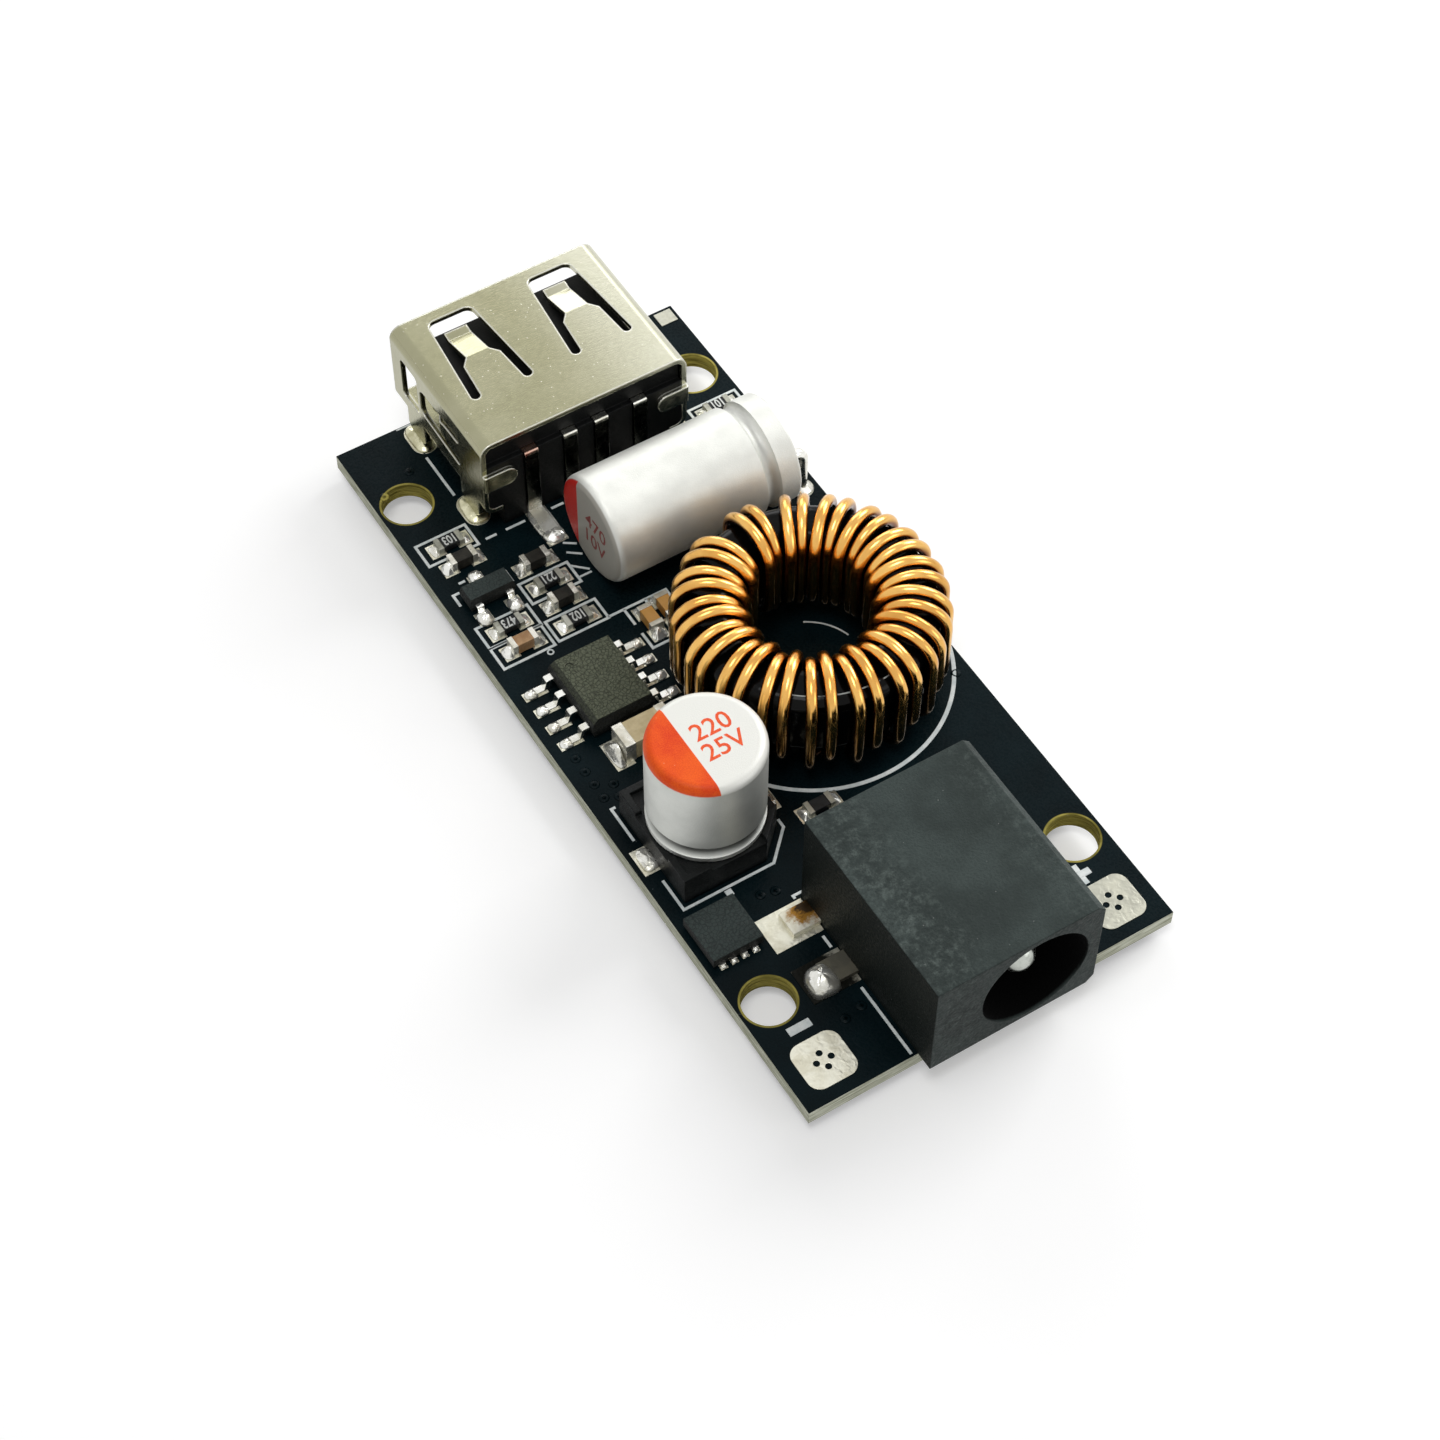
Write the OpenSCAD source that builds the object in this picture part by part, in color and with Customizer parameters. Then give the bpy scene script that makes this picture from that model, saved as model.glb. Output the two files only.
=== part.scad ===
// USB charging module: a step-down board with a socket, a barrel jack and a wound ring inductor.
// X runs across the board, +Y towards the socket, +Z up.
// The origin lies under the middle of the board, level with the lead tips that it stands on.

/* [Board] */
// Width of the board
board_w = 22.4; // [21:0.2:30]
// Length of the board
board_l = 50; // [49:0.5:70]
// Thickness of the board
board_t = 1; // [0.8:0.1:1.6]
// How far the legs, leads and posts reach below the board
lead_reach = 0.8; // [0.6:0.1:2]
// Diameter of the mounting holes
hole_d = 2.9; // [2:0.1:3.2]
// Mounting hole centre in from the long edge
hole_inset_x = 1.75; // [1.7:0.05:2.5]
// Mounting hole centre in from the socket end
hole_inset_back = 5.25; // [4.5:0.05:6]
// Mounting hole centre in from the jack end
hole_inset_front = 6.5; // [6:0.05:8]
// Thickness of the tinned pads
pad_t = 0.05; // [0.03:0.01:0.1]
// Side of the square wire pads
wire_pad_w = 2.85; // [2:0.05:3.4]
// Wire pad centre in from the long edge
wire_pad_inset_x = 2.28; // [2:0.02:3]
// Wire pad centre in from the jack end
wire_pad_inset_y = 2.16; // [2:0.02:3]
// Diameter of the vias in the wire pads
via_d = 0.36; // [0.2:0.02:0.5]
// Distance of the vias from the wire pad's centre
via_reach = 0.44; // [0.35:0.01:0.8]

/* [USB socket] */
// Outside width of the shell
shell_w = 13.2; // [12.6:0.1:14]
// Outside height of the shell
shell_h = 5.7; // [5.5:0.1:6.5]
// Length of the shell
shell_l = 10.45; // [10:0.05:14]
// Thickness of the shell's sheet and its springs
sheet_t = 0.3; // [0.2:0.02:0.4]
// Outside radius of the shell's folds
shell_bend = 0.75; // [0.5:0.05:1]
// Height of the shell's underside over the board
shell_lift = 1.35; // [1:0.05:2]
// Rear edge of the shell in from the board's end
shell_set_in = 9.4; // [9:0.1:10]
// Distance between the two spring tongues of a face
spring_pitch = 6.4; // [5.5:0.1:7]
// Length of a spring tongue's cut-out
spring_l = 6.1; // [5:0.1:6.6]
// Width of the cut-out at the tongue's root
spring_root_w = 3.85; // [3.4:0.05:4.4]
// Width of the cut-out at the mouth
spring_mouth_w = 2.75; // [2.4:0.05:3.2]
// Width of the slots beside the tongue
spring_slot_w = 0.55; // [0.4:0.05:0.7]
// Width of a spring tongue from its bend to its tip
spring_tip_w = 1.45; // [1.2:0.05:1.6]
// Radius of the cut-out's corners at the mouth
spring_corner = 0.5; // [0.3:0.05:0.6]
// Share of a spring tongue that stays level with the sheet
spring_level = 0.45; // [0.35:0.05:0.55]
// How deep the tongue dips into the shell
spring_dip = 0.6; // [0.2:0.05:0.6]
// Metal left between the cut-out and the mouth
mouth_band = 0.75; // [0.5:0.05:1.5]
// Length of a side spring's cut-out
side_spring_l = 4.2; // [3:0.1:4.6]
// Width of a side spring's cut-out at its root
side_spring_w = 2.4; // [2:0.1:3]
// How much narrower a side spring's cut-out is at its mouth
side_spring_taper = 0.4; // [0.2:0.05:0.6]
// Height of the side window over a front leg
leg_window_h = 3; // [2:0.1:3.4]
// Metal left between that window and the mouth
side_band = 1.1; // [0.8:0.05:1.5]
// Width of a shell leg above the board
leg_w = 2; // [1.4:0.1:2.4]
// Width of a shell leg where it passes the board
leg_tip_w = 1.2; // [0.8:0.1:1.3]
// Distance of the rear legs from the shell's rear edge
rear_leg_in = 1.8; // [1.4:0.1:2]
// Distance between front and rear legs
leg_pitch = 6.2; // [6:0.1:7]
// Length of the lugs folded over the insulator
lug_l = 1.9; // [1:0.1:2.2]
// Height of the lugs
lug_h = 1.2; // [0.8:0.1:1.6]
// Front to back thickness of the insulator's block
insulator_t = 2.6; // [2.2:0.1:3]
// Depth of the step in the insulator over its contacts
insulator_step = 0.35; // [0.2:0.05:0.6]
// Width of the insulator's foot on the board
foot_w = 10.8; // [10:0.1:11.4]
// Width of the contact tongue
tongue_w = 11.1; // [10.6:0.1:11.3]
// Thickness of the contact tongue
tongue_t = 1.84; // [1.6:0.02:2]
// Free height between the shell and the contact tongue
tongue_drop = 0.72; // [0.6:0.02:0.9]
// Distance of the tongue's end behind the mouth
tongue_back = 1; // [0.5:0.1:2]
// Width of a contact
contact_w = 0.85; // [0.6:0.05:1]
// Thickness of a contact
contact_t = 0.25; // [0.2:0.01:0.3]
// Place of the inner contacts from the middle
contact_inner_x = 1; // [0.9:0.05:1.2]
// Place of the outer contacts from the middle
contact_outer_x = 3.5; // [3.3:0.05:3.7]
// Height over the board where the contacts leave the block
contact_exit_z = 5.1; // [4.7:0.05:5.3]
// Length of a contact's soldered foot
contact_foot_l = 1.9; // [1.4:0.1:2.2]
// Solder land ahead of a contact's foot
contact_land = 0.9; // [0.4:0.05:0.9]

/* [Output capacitor] */
// Diameter of the lying can
out_can_d = 6.45; // [5:0.05:6.8]
// Length of the lying can
out_can_l = 11.8; // [10:0.1:12]
// Lead wires in from the right edge of the board
cap_lead_inset = 1; // [0.9:0.05:1.2]
// Axis of the can in from the socket end
out_can_inset = 14.75; // [14.5:0.05:15]
// Diameter of the lead wires
cap_lead_d = 0.6; // [0.5:0.02:0.8]
// Distance between the lead wires
cap_lead_pitch = 2.5; // [2:0.1:3]
// How far the leads stand out of the bung
cap_lead_out = 1.3; // [1:0.05:1.5]

/* [Ring inductor] */
// Gap between the controller's lead tips and the wound ring
ring_gap = -0.25; // [-0.3:0.05:0.5]
// Centre of the ring in from the jack end
ring_inset_y = 23; // [22.6:0.1:24]
// Outside diameter of the core
core_od = 13.8; // [12:0.1:14]
// Inside diameter of the core
core_id = 8.4; // [7.6:0.1:9]
// Height of the core
core_h = 4.5; // [3:0.1:7]
// Radius of the core's coated edges
core_edge = 0.8; // [0.4:0.05:0.9]
// Gap between the board and the lowest wire
ring_lift = 0.3; // [0.05:0.05:0.5]
// Half angle of the wire's arch over the core
arch_angle = 60; // [30:5:75]
// Diameter of the enamelled wire
wire_d = 0.66; // [0.5:0.01:0.8]
// Angle of the first wire in the core's eye
eye_start = 110.5; // [90:0.5:120]
// Angle that the turns take up in the core's eye
eye_span = 356; // [200:1:358]
// Angle of the first pair on the outside
rim_start = 120; // [100:0.5:125]
// Angle that the turns take up on the outside
rim_span = 345; // [190:1:350]
// Angle between the two wires of a pair on the outside
rim_pair = 8.4; // [6:0.1:9.5]
// Extra angle that sets the last pair apart
last_pair_gap = 6; // [0:0.5:8]
// How far the second wire of a pair stands into the eye
wire_stagger = 0.36; // [0.3:0.02:0.5]

/* [Input capacitor] */
// Diameter of the standing can
in_can_d = 6.4; // [5:0.05:6.5]
// Height of the standing can
in_can_h = 6.5; // [5:0.1:9]
// Side of the base
in_base_w = 6.6; // [6.6:0.1:7]
// Thickness of the base
in_base_t = 1.7; // [0.8:0.05:1.8]
// Height of the walls at the base's corners
in_wall_h = 0.3; // [0.2:0.05:1.2]
// Chamfer on the base's marked corners
in_base_chamfer = 1.6; // [1:0.1:1.9]
// Centre of the base in from the left edge
in_cap_inset_x = 4.5; // [4.5:0.05:4.8]
// Centre of the base in from the jack end
in_cap_inset_y = 17; // [16.9:0.05:17.5]
// Width of a terminal
in_term_w = 0.9; // [0.6:0.05:1.2]
// How far a terminal reaches past the base
in_term_out = 0.75; // [0.4:0.05:0.8]

/* [Barrel jack] */
// Width of the jack's body
jack_w = 10; // [9.9:0.1:10.4]
// Length of the jack's body
jack_l = 11.9; // [11.9:0.1:14]
// Height of the jack's body
jack_h = 7.05; // [7:0.05:9]
// Rear of the body in from the jack end of the board
jack_set_in = 10.85; // [10.8:0.05:11.2]
// Left side of the body in from the left edge of the board
jack_inset_x = 6.5; // [6.4:0.05:6.6]
// Diameter of the socket's bore
jack_bore_d = 6.4; // [6:0.1:6.5]
// Depth of the socket's bore
jack_bore_l = 9.4; // [8:0.1:9.6]
// Axis of the bore from the body's left side
jack_axis_x = 6.1; // [6.1:0.05:6.3]
// Axis of the bore over the board
jack_axis_z = 3.5; // [3.4:0.05:3.6]
// Diameter of the centre pin
jack_pin_d = 2; // [1.6:0.1:2.5]
// Distance of the pin's tip behind the front face
jack_pin_back = 0.75; // [0.5:0.05:2]
// Thickness of the jack's tabs and spring
jack_tab_t = 0.3; // [0.2:0.02:0.35]
// Width of the jack's tabs
jack_tab_w = 1.45; // [1:0.05:1.6]
// How far the rear tab reaches out of the body
jack_tab_out = 1.65; // [1:0.05:1.8]
// Distance of the rear tab from the body's rear
jack_tab_in = 1.15; // [1.1:0.05:1.3]
// Distance between the two tabs of a side
jack_tab_pitch = 3.5; // [3.2:0.1:4]
// Diameter of the locating posts
jack_post_d = 1.5; // [1:0.1:1.8]
// Distance between the locating posts
jack_post_pitch = 5; // [4:0.1:5.4]
// Chamfer along the body's right edges
jack_chamfer = 0.45; // [0.2:0.05:0.8]

/* [Chips] */
// Length of a small chip part
chip_l = 1.6; // [1.4:0.05:1.8]
// Width of a small chip part
chip_w = 0.8; // [0.7:0.05:0.9]
// Height of a chip resistor
resistor_h = 0.45; // [0.35:0.05:0.6]
// Height of a chip capacitor
ceramic_h = 0.8; // [0.6:0.05:1]
// Length of the metal ends on a chip
chip_end_l = 0.3; // [0.2:0.02:0.4]
// Thickness of the metal ends on a chip
chip_plate_t = 0.04; // [0.02:0.01:0.06]
// Distance between chip rows
chip_pitch = 1.55; // [1.35:0.05:1.56]
// Front chip row in from the socket end
chip_row_inset = 17.48; // [17.4:0.02:17.7]
// Left chip column in from the left edge
chip_left_inset = 2.35; // [2.2:0.05:2.5]
// Distance between the two chip columns
chip_column_pitch = 3.43; // [3.3:0.01:3.6]
// Length of the large ceramic capacitor
bulk_l = 3.2; // [3:0.1:3.4]
// Width of the large ceramic capacitor
bulk_w = 1.6; // [1.4:0.1:1.8]
// Height of the large ceramic capacitor
bulk_h = 1.5; // [1:0.1:1.8]
// Centre of the large capacitor in from the left edge
bulk_inset_x = 4.75; // [4.6:0.05:4.9]
// Centre of the large capacitor behind the ring's centre
bulk_ring_y = 0.6; // [0.4:0.05:0.7]
// Centre of the controller in from the left edge
controller_inset_x = 4.35; // [4.3:0.05:4.6]
// Centre of the controller behind the ring's centre
controller_ring_y = 4.5; // [4.4:0.05:4.8]
// Length of the controller chip along its leads' row
controller_l = 4.9; // [4.7:0.1:5.1]
// Width of the controller chip
controller_w = 3.9; // [3.7:0.1:4.1]
// Height of the controller chip's top over the board
controller_h = 1.5; // [1.3:0.05:1.8]
// Distance between the controller's leads
controller_pitch = 1.27; // [1.2:0.01:1.3]
// Tip to tip span of the controller's leads
controller_span = 6.1; // [5.9:0.05:6.2]
// Width of a controller lead
controller_lead_w = 0.42; // [0.3:0.02:0.5]
// Thickness of the chips' leads
lead_t = 0.2; // [0.15:0.01:0.25]
// Centre of the power switch in from the left edge
switch_inset_x = 1.85; // [1.8:0.05:2.1]
// Centre of the power switch behind the jack's rear
switch_jack_y = 0.15; // [0:0.05:0.3]
// Side of the power switch chip
switch_w = 3; // [2.8:0.1:3.2]
// Height of the power switch chip
switch_h = 0.8; // [0.7:0.05:1.1]
// Distance between the power switch's leads
switch_pitch = 0.65; // [0.5:0.05:0.7]
// Length of the transistor's body
transistor_l = 2.9; // [2.7:0.1:3.1]
// Width of the transistor's body
transistor_w = 1.3; // [1.2:0.05:1.4]
// Height of the transistor's top over the board
transistor_h = 1.05; // [0.9:0.05:1.2]
// Distance between the transistor's two front leads
transistor_pitch = 1.9; // [1.8:0.05:2]
// Tip to tip span of the transistor's leads
transistor_span = 2.5; // [2.3:0.05:2.6]

/* [Hidden] */
$fn = 48;

// Finishes
mask_black = [0.05, 0.08, 0.09];
tin = [0.82, 0.82, 0.8];
nickel = [0.78, 0.75, 0.68];
plastic_black = [0.06, 0.06, 0.06];
moulding_grey = [0.2, 0.21, 0.21];
aluminium = [0.9, 0.9, 0.88];
rubber_black = [0.1, 0.1, 0.1];
enamel_copper = [0.8, 0.55, 0.22];
epoxy_grey = [0.22, 0.23, 0.2];
glaze_black = [0.12, 0.12, 0.12];
ceramic_dark = [0.3, 0.25, 0.2];
ceramic_tan = [0.75, 0.62, 0.42];

// Fits
cut = 0.02;              // cuts run this far past a face
snug = 0.05;             // gap between pieces that are pressed together
hole_play = 0.2;         // a lead's hole is wider than the lead by this much
pad_rim = 0.4;           // solder land left round a leg or a foot

// Board
deck = lead_reach + board_t;
solder_top = deck + pad_t;
left_edge = -board_w / 2;
right_edge = board_w / 2;
back_edge = board_l / 2;
front_edge = -board_l / 2;
hole_xy = [
  for (x = [left_edge + hole_inset_x, right_edge - hole_inset_x])
  for (y = [back_edge - hole_inset_back, front_edge + hole_inset_front]) [x, y]
];
wire_pad_corner = wire_pad_w / 4;
wire_pad_xy = [for (s = [-1, 1]) [s * (right_edge - wire_pad_inset_x), front_edge + wire_pad_inset_y]];

// USB socket
shell_rear = back_edge - shell_set_in;
shell_mouth = shell_rear + shell_l;
shell_mid = shell_rear + shell_l / 2;
shell_z = deck + shell_lift;
shell_top = shell_z + shell_h;
side_x = (shell_w - sheet_t) / 2;
leg_y = [shell_rear + rear_leg_in, shell_rear + rear_leg_in + leg_pitch];
leg_slot = [sheet_t + 2 * hole_play, leg_tip_w + 2 * hole_play];
leg_pad = leg_slot + [2 * pad_rim, 2 * pad_rim];
spring_curl = 0.7;       // share of the dip that a tongue's tip keeps
spring_root = shell_mouth - mouth_band - spring_l;
side_spring_root = leg_y[0] + leg_w / 2 + sheet_t / 2;
side_spring_z = shell_z + shell_h / 2;
leg_window = [side_spring_root + side_spring_l + sheet_t, shell_mouth - side_band];
lug_z = shell_z + (shell_h - lug_h) / 2;
block_mid = shell_rear + insulator_t / 2;
block_w = shell_w - 2 * sheet_t - 2 * snug;
block_h = shell_h - 2 * sheet_t - 2 * snug;
tongue_top = shell_top - sheet_t - tongue_drop;
tongue_end = shell_mouth - tongue_back;
contact_x = [-contact_outer_x, -contact_inner_x, contact_inner_x, contact_outer_x];
contact_leg_y = shell_rear;
contact_foot_z = solder_top + contact_t / 2;
contact_beam_z = tongue_top - tongue_t - contact_t / 2;
contact_top = deck + contact_exit_z + contact_t / 2;
contact_tip_in = 1;      // a contact ends this far behind the tongue's end
contact_entry = 0.4;     // and runs level this far into the block
contact_path = [
  [tongue_end - contact_tip_in, contact_beam_z],
  [shell_rear + insulator_t - contact_entry, contact_beam_z],
  [shell_rear + insulator_t / 2, deck + contact_exit_z],
  [contact_leg_y, deck + contact_exit_z],
  [contact_leg_y, contact_foot_z],
  [contact_leg_y - contact_foot_l, contact_foot_z]
];
contact_pad = [contact_w + pad_rim, contact_foot_l + pad_rim + contact_land];

// Output capacitor
cap_lead_x = right_edge - cap_lead_inset;
out_can_left = cap_lead_x - cap_lead_out - out_can_l;
out_can_y = back_edge - out_can_inset;
out_can_z = solder_top + snug + out_can_d / 2;
can_edge = 0.5;
can_bead = 0.3;          // depth of the crimped groove
bead_r = 0.5;            // radius of the groove's section
can_lip = 0.3;           // wall left around the bung
out_lip_l = 1.3;         // plain length between the groove and the open end
bung_l = 1.2;
bung_d = out_can_d - 2 * can_bead - 2 * can_lip;
cap_lead_y = [out_can_y - cap_lead_pitch / 2, out_can_y + cap_lead_pitch / 2];
cap_lead_bend = cap_lead_d;
cap_lead_pad = cap_lead_d + hole_play + 1.5 * pad_rim;

// Ring inductor, set beside the controller
ring_y = front_edge + ring_inset_y;
controller_spot = [left_edge + controller_inset_x, ring_y + controller_ring_y];
wire_sides = 8;
bend_steps = 3;
arch_steps = 6;
edge_steps = 2;
wire_r = wire_d / 2;
wire_layer = wire_d + snug;
core_bottom = deck + ring_lift + 2 * wire_layer;
wire_high = core_bottom + core_h + snug + wire_r;
wire_bend = core_edge + snug + wire_r;
rim_r = core_od / 2 + snug + wire_r;
ring_x = controller_spot.x + controller_span / 2 + ring_gap + rim_r + wire_r;
function eye_r(strand) = core_id / 2 - snug - wire_r - strand * wire_stagger;
wire_angle = 2 * asin((wire_d + 0.7 * snug) / (2 * eye_r(0)));
turns = floor(eye_span / (2 * wire_angle));
eye_step = eye_span / turns;
rim_step = rim_span / turns;
function wire_low(strand) = deck + ring_lift + wire_r + strand * wire_layer;
function eye_angle(turn, strand) = eye_start + (turn + strand / 2) * eye_step;
function rim_angle(turn, strand) =
  rim_start + turn * rim_step + (strand - 0.5) * rim_pair + (turn == turns - 1 ? last_pair_gap : 0);
function ring_point(r, a, z) = [ring_x + r * cos(a), ring_y + r * sin(a), z];
winding_holes = concat(
  [for (s = [0, 1]) ring_point(eye_r(s), eye_angle(0, s), 0)],
  [for (s = [0, 1]) ring_point(rim_r, rim_angle(turns - 1, s), 0)]
);

// Input capacitor
in_cap_x = left_edge + in_cap_inset_x;
in_cap_y = front_edge + in_cap_inset_y;
in_lip_l = 0.4;
in_wall = 0.4;           // thickness of the base's corner walls
in_term_t = 0.2;
in_term_end = in_base_w / 2 + in_term_out;
in_term_gap = 0.6;       // a terminal ends this far from the base's middle
in_term_pad = [1.9, 1.7];
in_pad_out = 0.15;       // a pad reaches this far past its terminal
in_can_z = solder_top + in_base_t + cut;

// Barrel jack
jack_left = left_edge + jack_inset_x;
jack_rear = front_edge + jack_set_in;
jack_front = jack_rear - jack_l;
jack_mid_x = jack_left + jack_w / 2;
jack_bore_x = jack_left + jack_axis_x;
jack_bore_z = deck + jack_axis_z;
jack_tab_z = solder_top + jack_tab_t / 2;
jack_tab_y = [jack_rear - jack_tab_in, jack_rear - jack_tab_in - jack_tab_pitch];
jack_post_y = [for (s = [-1, 1]) jack_rear - jack_l / 2 + s * jack_post_pitch / 2];
jack_notch = 1;          // depth of the notch that a tab lies in
jack_tail_d = jack_pin_d / 2;
jack_pad = [jack_tab_out + 3 * pad_rim, jack_tab_w + 2 * pad_rim];
anchor_pad = [jack_tab_out + pad_rim, jack_tab_w + 2 * pad_rim];
pin_terminal_path = [
  [jack_bore_x, jack_bore_z + jack_pin_d / 2],
  [jack_bore_x, jack_tab_z],
  [jack_left - jack_tab_out, jack_tab_z]
];
sleeve_wall = 0.8;       // moulding left between the bore and the sleeve spring
sleeve_bow = 0.85;       // how far the spring bows into the bore
sleeve_end = 0.2;        // and how far its end stays in
sleeve_low = 1.4;        // where the bow starts below the axis
sleeve_high = 1.5;       // and ends above it
spring_foot_x = jack_bore_x - jack_bore_d / 2 - sleeve_wall;
sleeve_spring_path = [
  [jack_left - jack_tab_out, jack_tab_z],
  [spring_foot_x, jack_tab_z],
  [spring_foot_x, jack_bore_z - sleeve_low],
  [spring_foot_x + sleeve_bow, jack_bore_z],
  [spring_foot_x + sleeve_end, jack_bore_z + sleeve_high]
];

// Chips: each spot is [x, y, turn]
chip_x = [left_edge + chip_left_inset, left_edge + chip_left_inset + chip_column_pitch];
chip_y0 = back_edge - chip_row_inset;
function chip_spot(column, row) = [chip_x[column], chip_y0 + row * chip_pitch, 0];
side_resistor = [1.9, 1];   // in from the right edge, ahead of the shell's rear
front_resistor = [4.4, 1];  // left of the ring's centre, clear of the core's rim
tan_pair = [[5.65, 0.35], [4.45, 0.6]];
resistor_spots = [
  chip_spot(1, 0), chip_spot(0, 1), chip_spot(1, 2), chip_spot(0, 5.4),
  [right_edge - side_resistor.x, shell_rear + side_resistor.y, 0],
  [ring_x - front_resistor.x, ring_y - core_od / 2 - front_resistor.y, 0]
];
dark_spots = [chip_spot(1, 1), chip_spot(1, 3), chip_spot(0, 4.4)];
tan_spots = concat(
  [chip_spot(0, 0)], [for (p = tan_pair) [ring_x - p.x, ring_y + core_od / 2 + p.y, 90]]
);
chip_pad = [chip_end_l + 1.5 * pad_rim, chip_w + pad_rim / 2];
chip_pad_x = chip_l / 2 + snug;
bulk_pad = [1.1, bulk_w + pad_rim];
controller_pad = [1.4, 0.6];
switch_pad = [0.4, 0.5];
transistor_pad = [0.9, 0.9];
corner_pad = [1.1, 1];
transistor_row = 2.65;   // the transistor stands between the chip rows
transistor_spot = [chip_x[0] + 2 * snug, chip_y0 + transistor_row * chip_pitch];
bulk_spot = [left_edge + bulk_inset_x, ring_y + bulk_ring_y];
switch_spot = [left_edge + switch_inset_x, jack_rear + switch_jack_y];
body_lift = 0.1;         // a leaded chip's body stands this far over the board

// Flat shapes and sweeps

module round_rect(w, h, r) {
  square([w - 2 * r, h], center = true);
  square([w, h - 2 * r], center = true);
  for (x = [-1, 1]) for (y = [-1, 1]) translate([x * (w / 2 - r), y * (h / 2 - r)]) circle(r);
}

module stadium(w, l) {
  square([w, l - w], center = true);
  for (s = [-1, 1]) translate([0, s * (l - w) / 2]) circle(d = w);
}

// A sheet strip of thickness t, bent along a path
module bent_strip(path, t) {
  for (i = [0 : len(path) - 2]) {
    run = path[i + 1] - path[i];
    translate(path[i]) rotate(atan2(run.y, run.x)) translate([0, -t / 2]) square([norm(run), t]);
  }
  for (i = [1 : len(path) - 2]) translate(path[i]) circle(d = t);
}

// A shape drawn in Y and Z, run w along X
module along_x(w) {
  rotate([90, 0, 90]) linear_extrude(w, center = true) children();
}

// A shape drawn in X and Z, run l along Y
module along_y(l) {
  rotate([90, 0, 0]) linear_extrude(l, center = true) children();
}

module block(size, z) {
  translate([0, 0, z]) linear_extrude(size.z) square([size.x, size.y], center = true);
}

// Side view of a moulded chip: the walls lean in above and below the lead line
module moulded_side(w, low, waist, high, draft) {
  polygon([
    [-w / 2 + draft, low], [w / 2 - draft, low], [w / 2, waist],
    [w / 2 - draft, high], [-w / 2 + draft, high], [-w / 2, waist]
  ]);
}

module moulded_body(w, l, low, high, draft) {
  waist = (low + high) / 2;
  intersection() {
    along_y(l) moulded_side(w, low, waist, high, draft);
    along_x(w) moulded_side(l, low, waist, high, draft);
  }
}

// A gull-wing lead that leaves a body at reach_in and ends at reach_out
module gull_wing(reach_in, reach_out, waist, w) {
  foot_z = solder_top + lead_t / 2;
  out = reach_out - reach_in;
  shoulder = 0.35 * out;
  heel = 0.5 * out;
  along_y(w) bent_strip([
    [reach_in, waist], [reach_in + shoulder, waist], [reach_in + heel, foot_z], [reach_out, foot_z]
  ], lead_t);
}

// Board

module board_hole(p, d) {
  translate([p.x, p.y, lead_reach - cut]) cylinder(d = d, h = board_t + 2 * cut);
}

module circuit_board() {
  color(mask_black) difference() {
    translate([0, 0, lead_reach]) linear_extrude(board_t) square([board_w, board_l], center = true);
    for (p = hole_xy) board_hole(p, hole_d);
    for (p = winding_holes) board_hole(p, wire_d + hole_play);
    for (y = cap_lead_y) board_hole([cap_lead_x, y], cap_lead_d + hole_play);
    for (y = jack_post_y) board_hole([jack_mid_x, y], jack_post_d + hole_play);
    for (s = [-1, 1]) for (y = leg_y) translate([s * side_x, y, lead_reach - cut])
      linear_extrude(board_t + 2 * cut) stadium(leg_slot.x, leg_slot.y);
  }
}

module wire_pads() {
  color(tin) for (p = wire_pad_xy) translate([p.x, p.y, deck]) linear_extrude(pad_t) difference() {
    round_rect(wire_pad_w, wire_pad_w, wire_pad_corner);
    for (a = [0 : 90 : 270]) rotate(a) translate([via_reach, 0]) circle(d = via_d);
  }
}

module pad(p, size) {
  translate([p.x, p.y, deck]) linear_extrude(pad_t) square(size, center = true);
}

module component_pads() {
  color(tin) {
    for (p = concat(resistor_spots, dark_spots, tan_spots)) translate([p.x, p.y]) rotate(p.z)
      for (s = [-1, 1]) pad([s * chip_pad_x, 0], chip_pad);
    for (s = [-1, 1]) {
      pad(bulk_spot + [s * (bulk_l / 2 + 2 * snug), 0], bulk_pad);
      pad([in_cap_x + s * (in_term_end + in_pad_out - in_term_pad.x / 2), in_cap_y], in_term_pad);
      for (i = [-1.5 : 1.5]) {
        pad(controller_spot + [s * (controller_span / 2), i * controller_pitch], controller_pad);
        pad(switch_spot + [i * switch_pitch, s * (switch_w / 2)], switch_pad);
      }
      pad(transistor_spot + [s * transistor_pitch / 2, -transistor_span / 2], transistor_pad);
      for (y = leg_y) translate([s * side_x, y, deck]) linear_extrude(pad_t) difference() {
        stadium(leg_pad.x, leg_pad.y);
        stadium(leg_slot.x, leg_slot.y);
      }
    }
    pad(transistor_spot + [0, transistor_span / 2], transistor_pad);
    pad([right_edge - pad_rim / 2, back_edge - pad_rim / 2] - corner_pad / 2, corner_pad);
    for (x = contact_x) pad([x, contact_leg_y + pad_rim - contact_pad.y / 2], contact_pad);
    for (y = jack_tab_y) {
      pad([jack_left - jack_pad.x / 2 - snug, y], jack_pad);
      pad([jack_left + jack_w + anchor_pad.x / 2 + snug, y], anchor_pad);
    }
    for (y = cap_lead_y) translate([cap_lead_x, y, deck]) linear_extrude(pad_t) difference() {
      circle(d = cap_lead_pad);
      circle(d = cap_lead_d + hole_play);
    }
  }
}

// Cones of solder under the board, open where the leads come through
module solder_cones(spots, lead_d) {
  h = 0.75 * lead_reach;
  translate([0, 0, lead_reach - h]) difference() {
    for (p = spots) translate([p.x, p.y]) cylinder(d1 = 1.5 * lead_d, d2 = 2.5 * lead_d, h = h);
    for (p = spots) translate([p.x, p.y, -cut]) cylinder(d = lead_d + cut, h = h + 2 * cut);
  }
}

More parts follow.
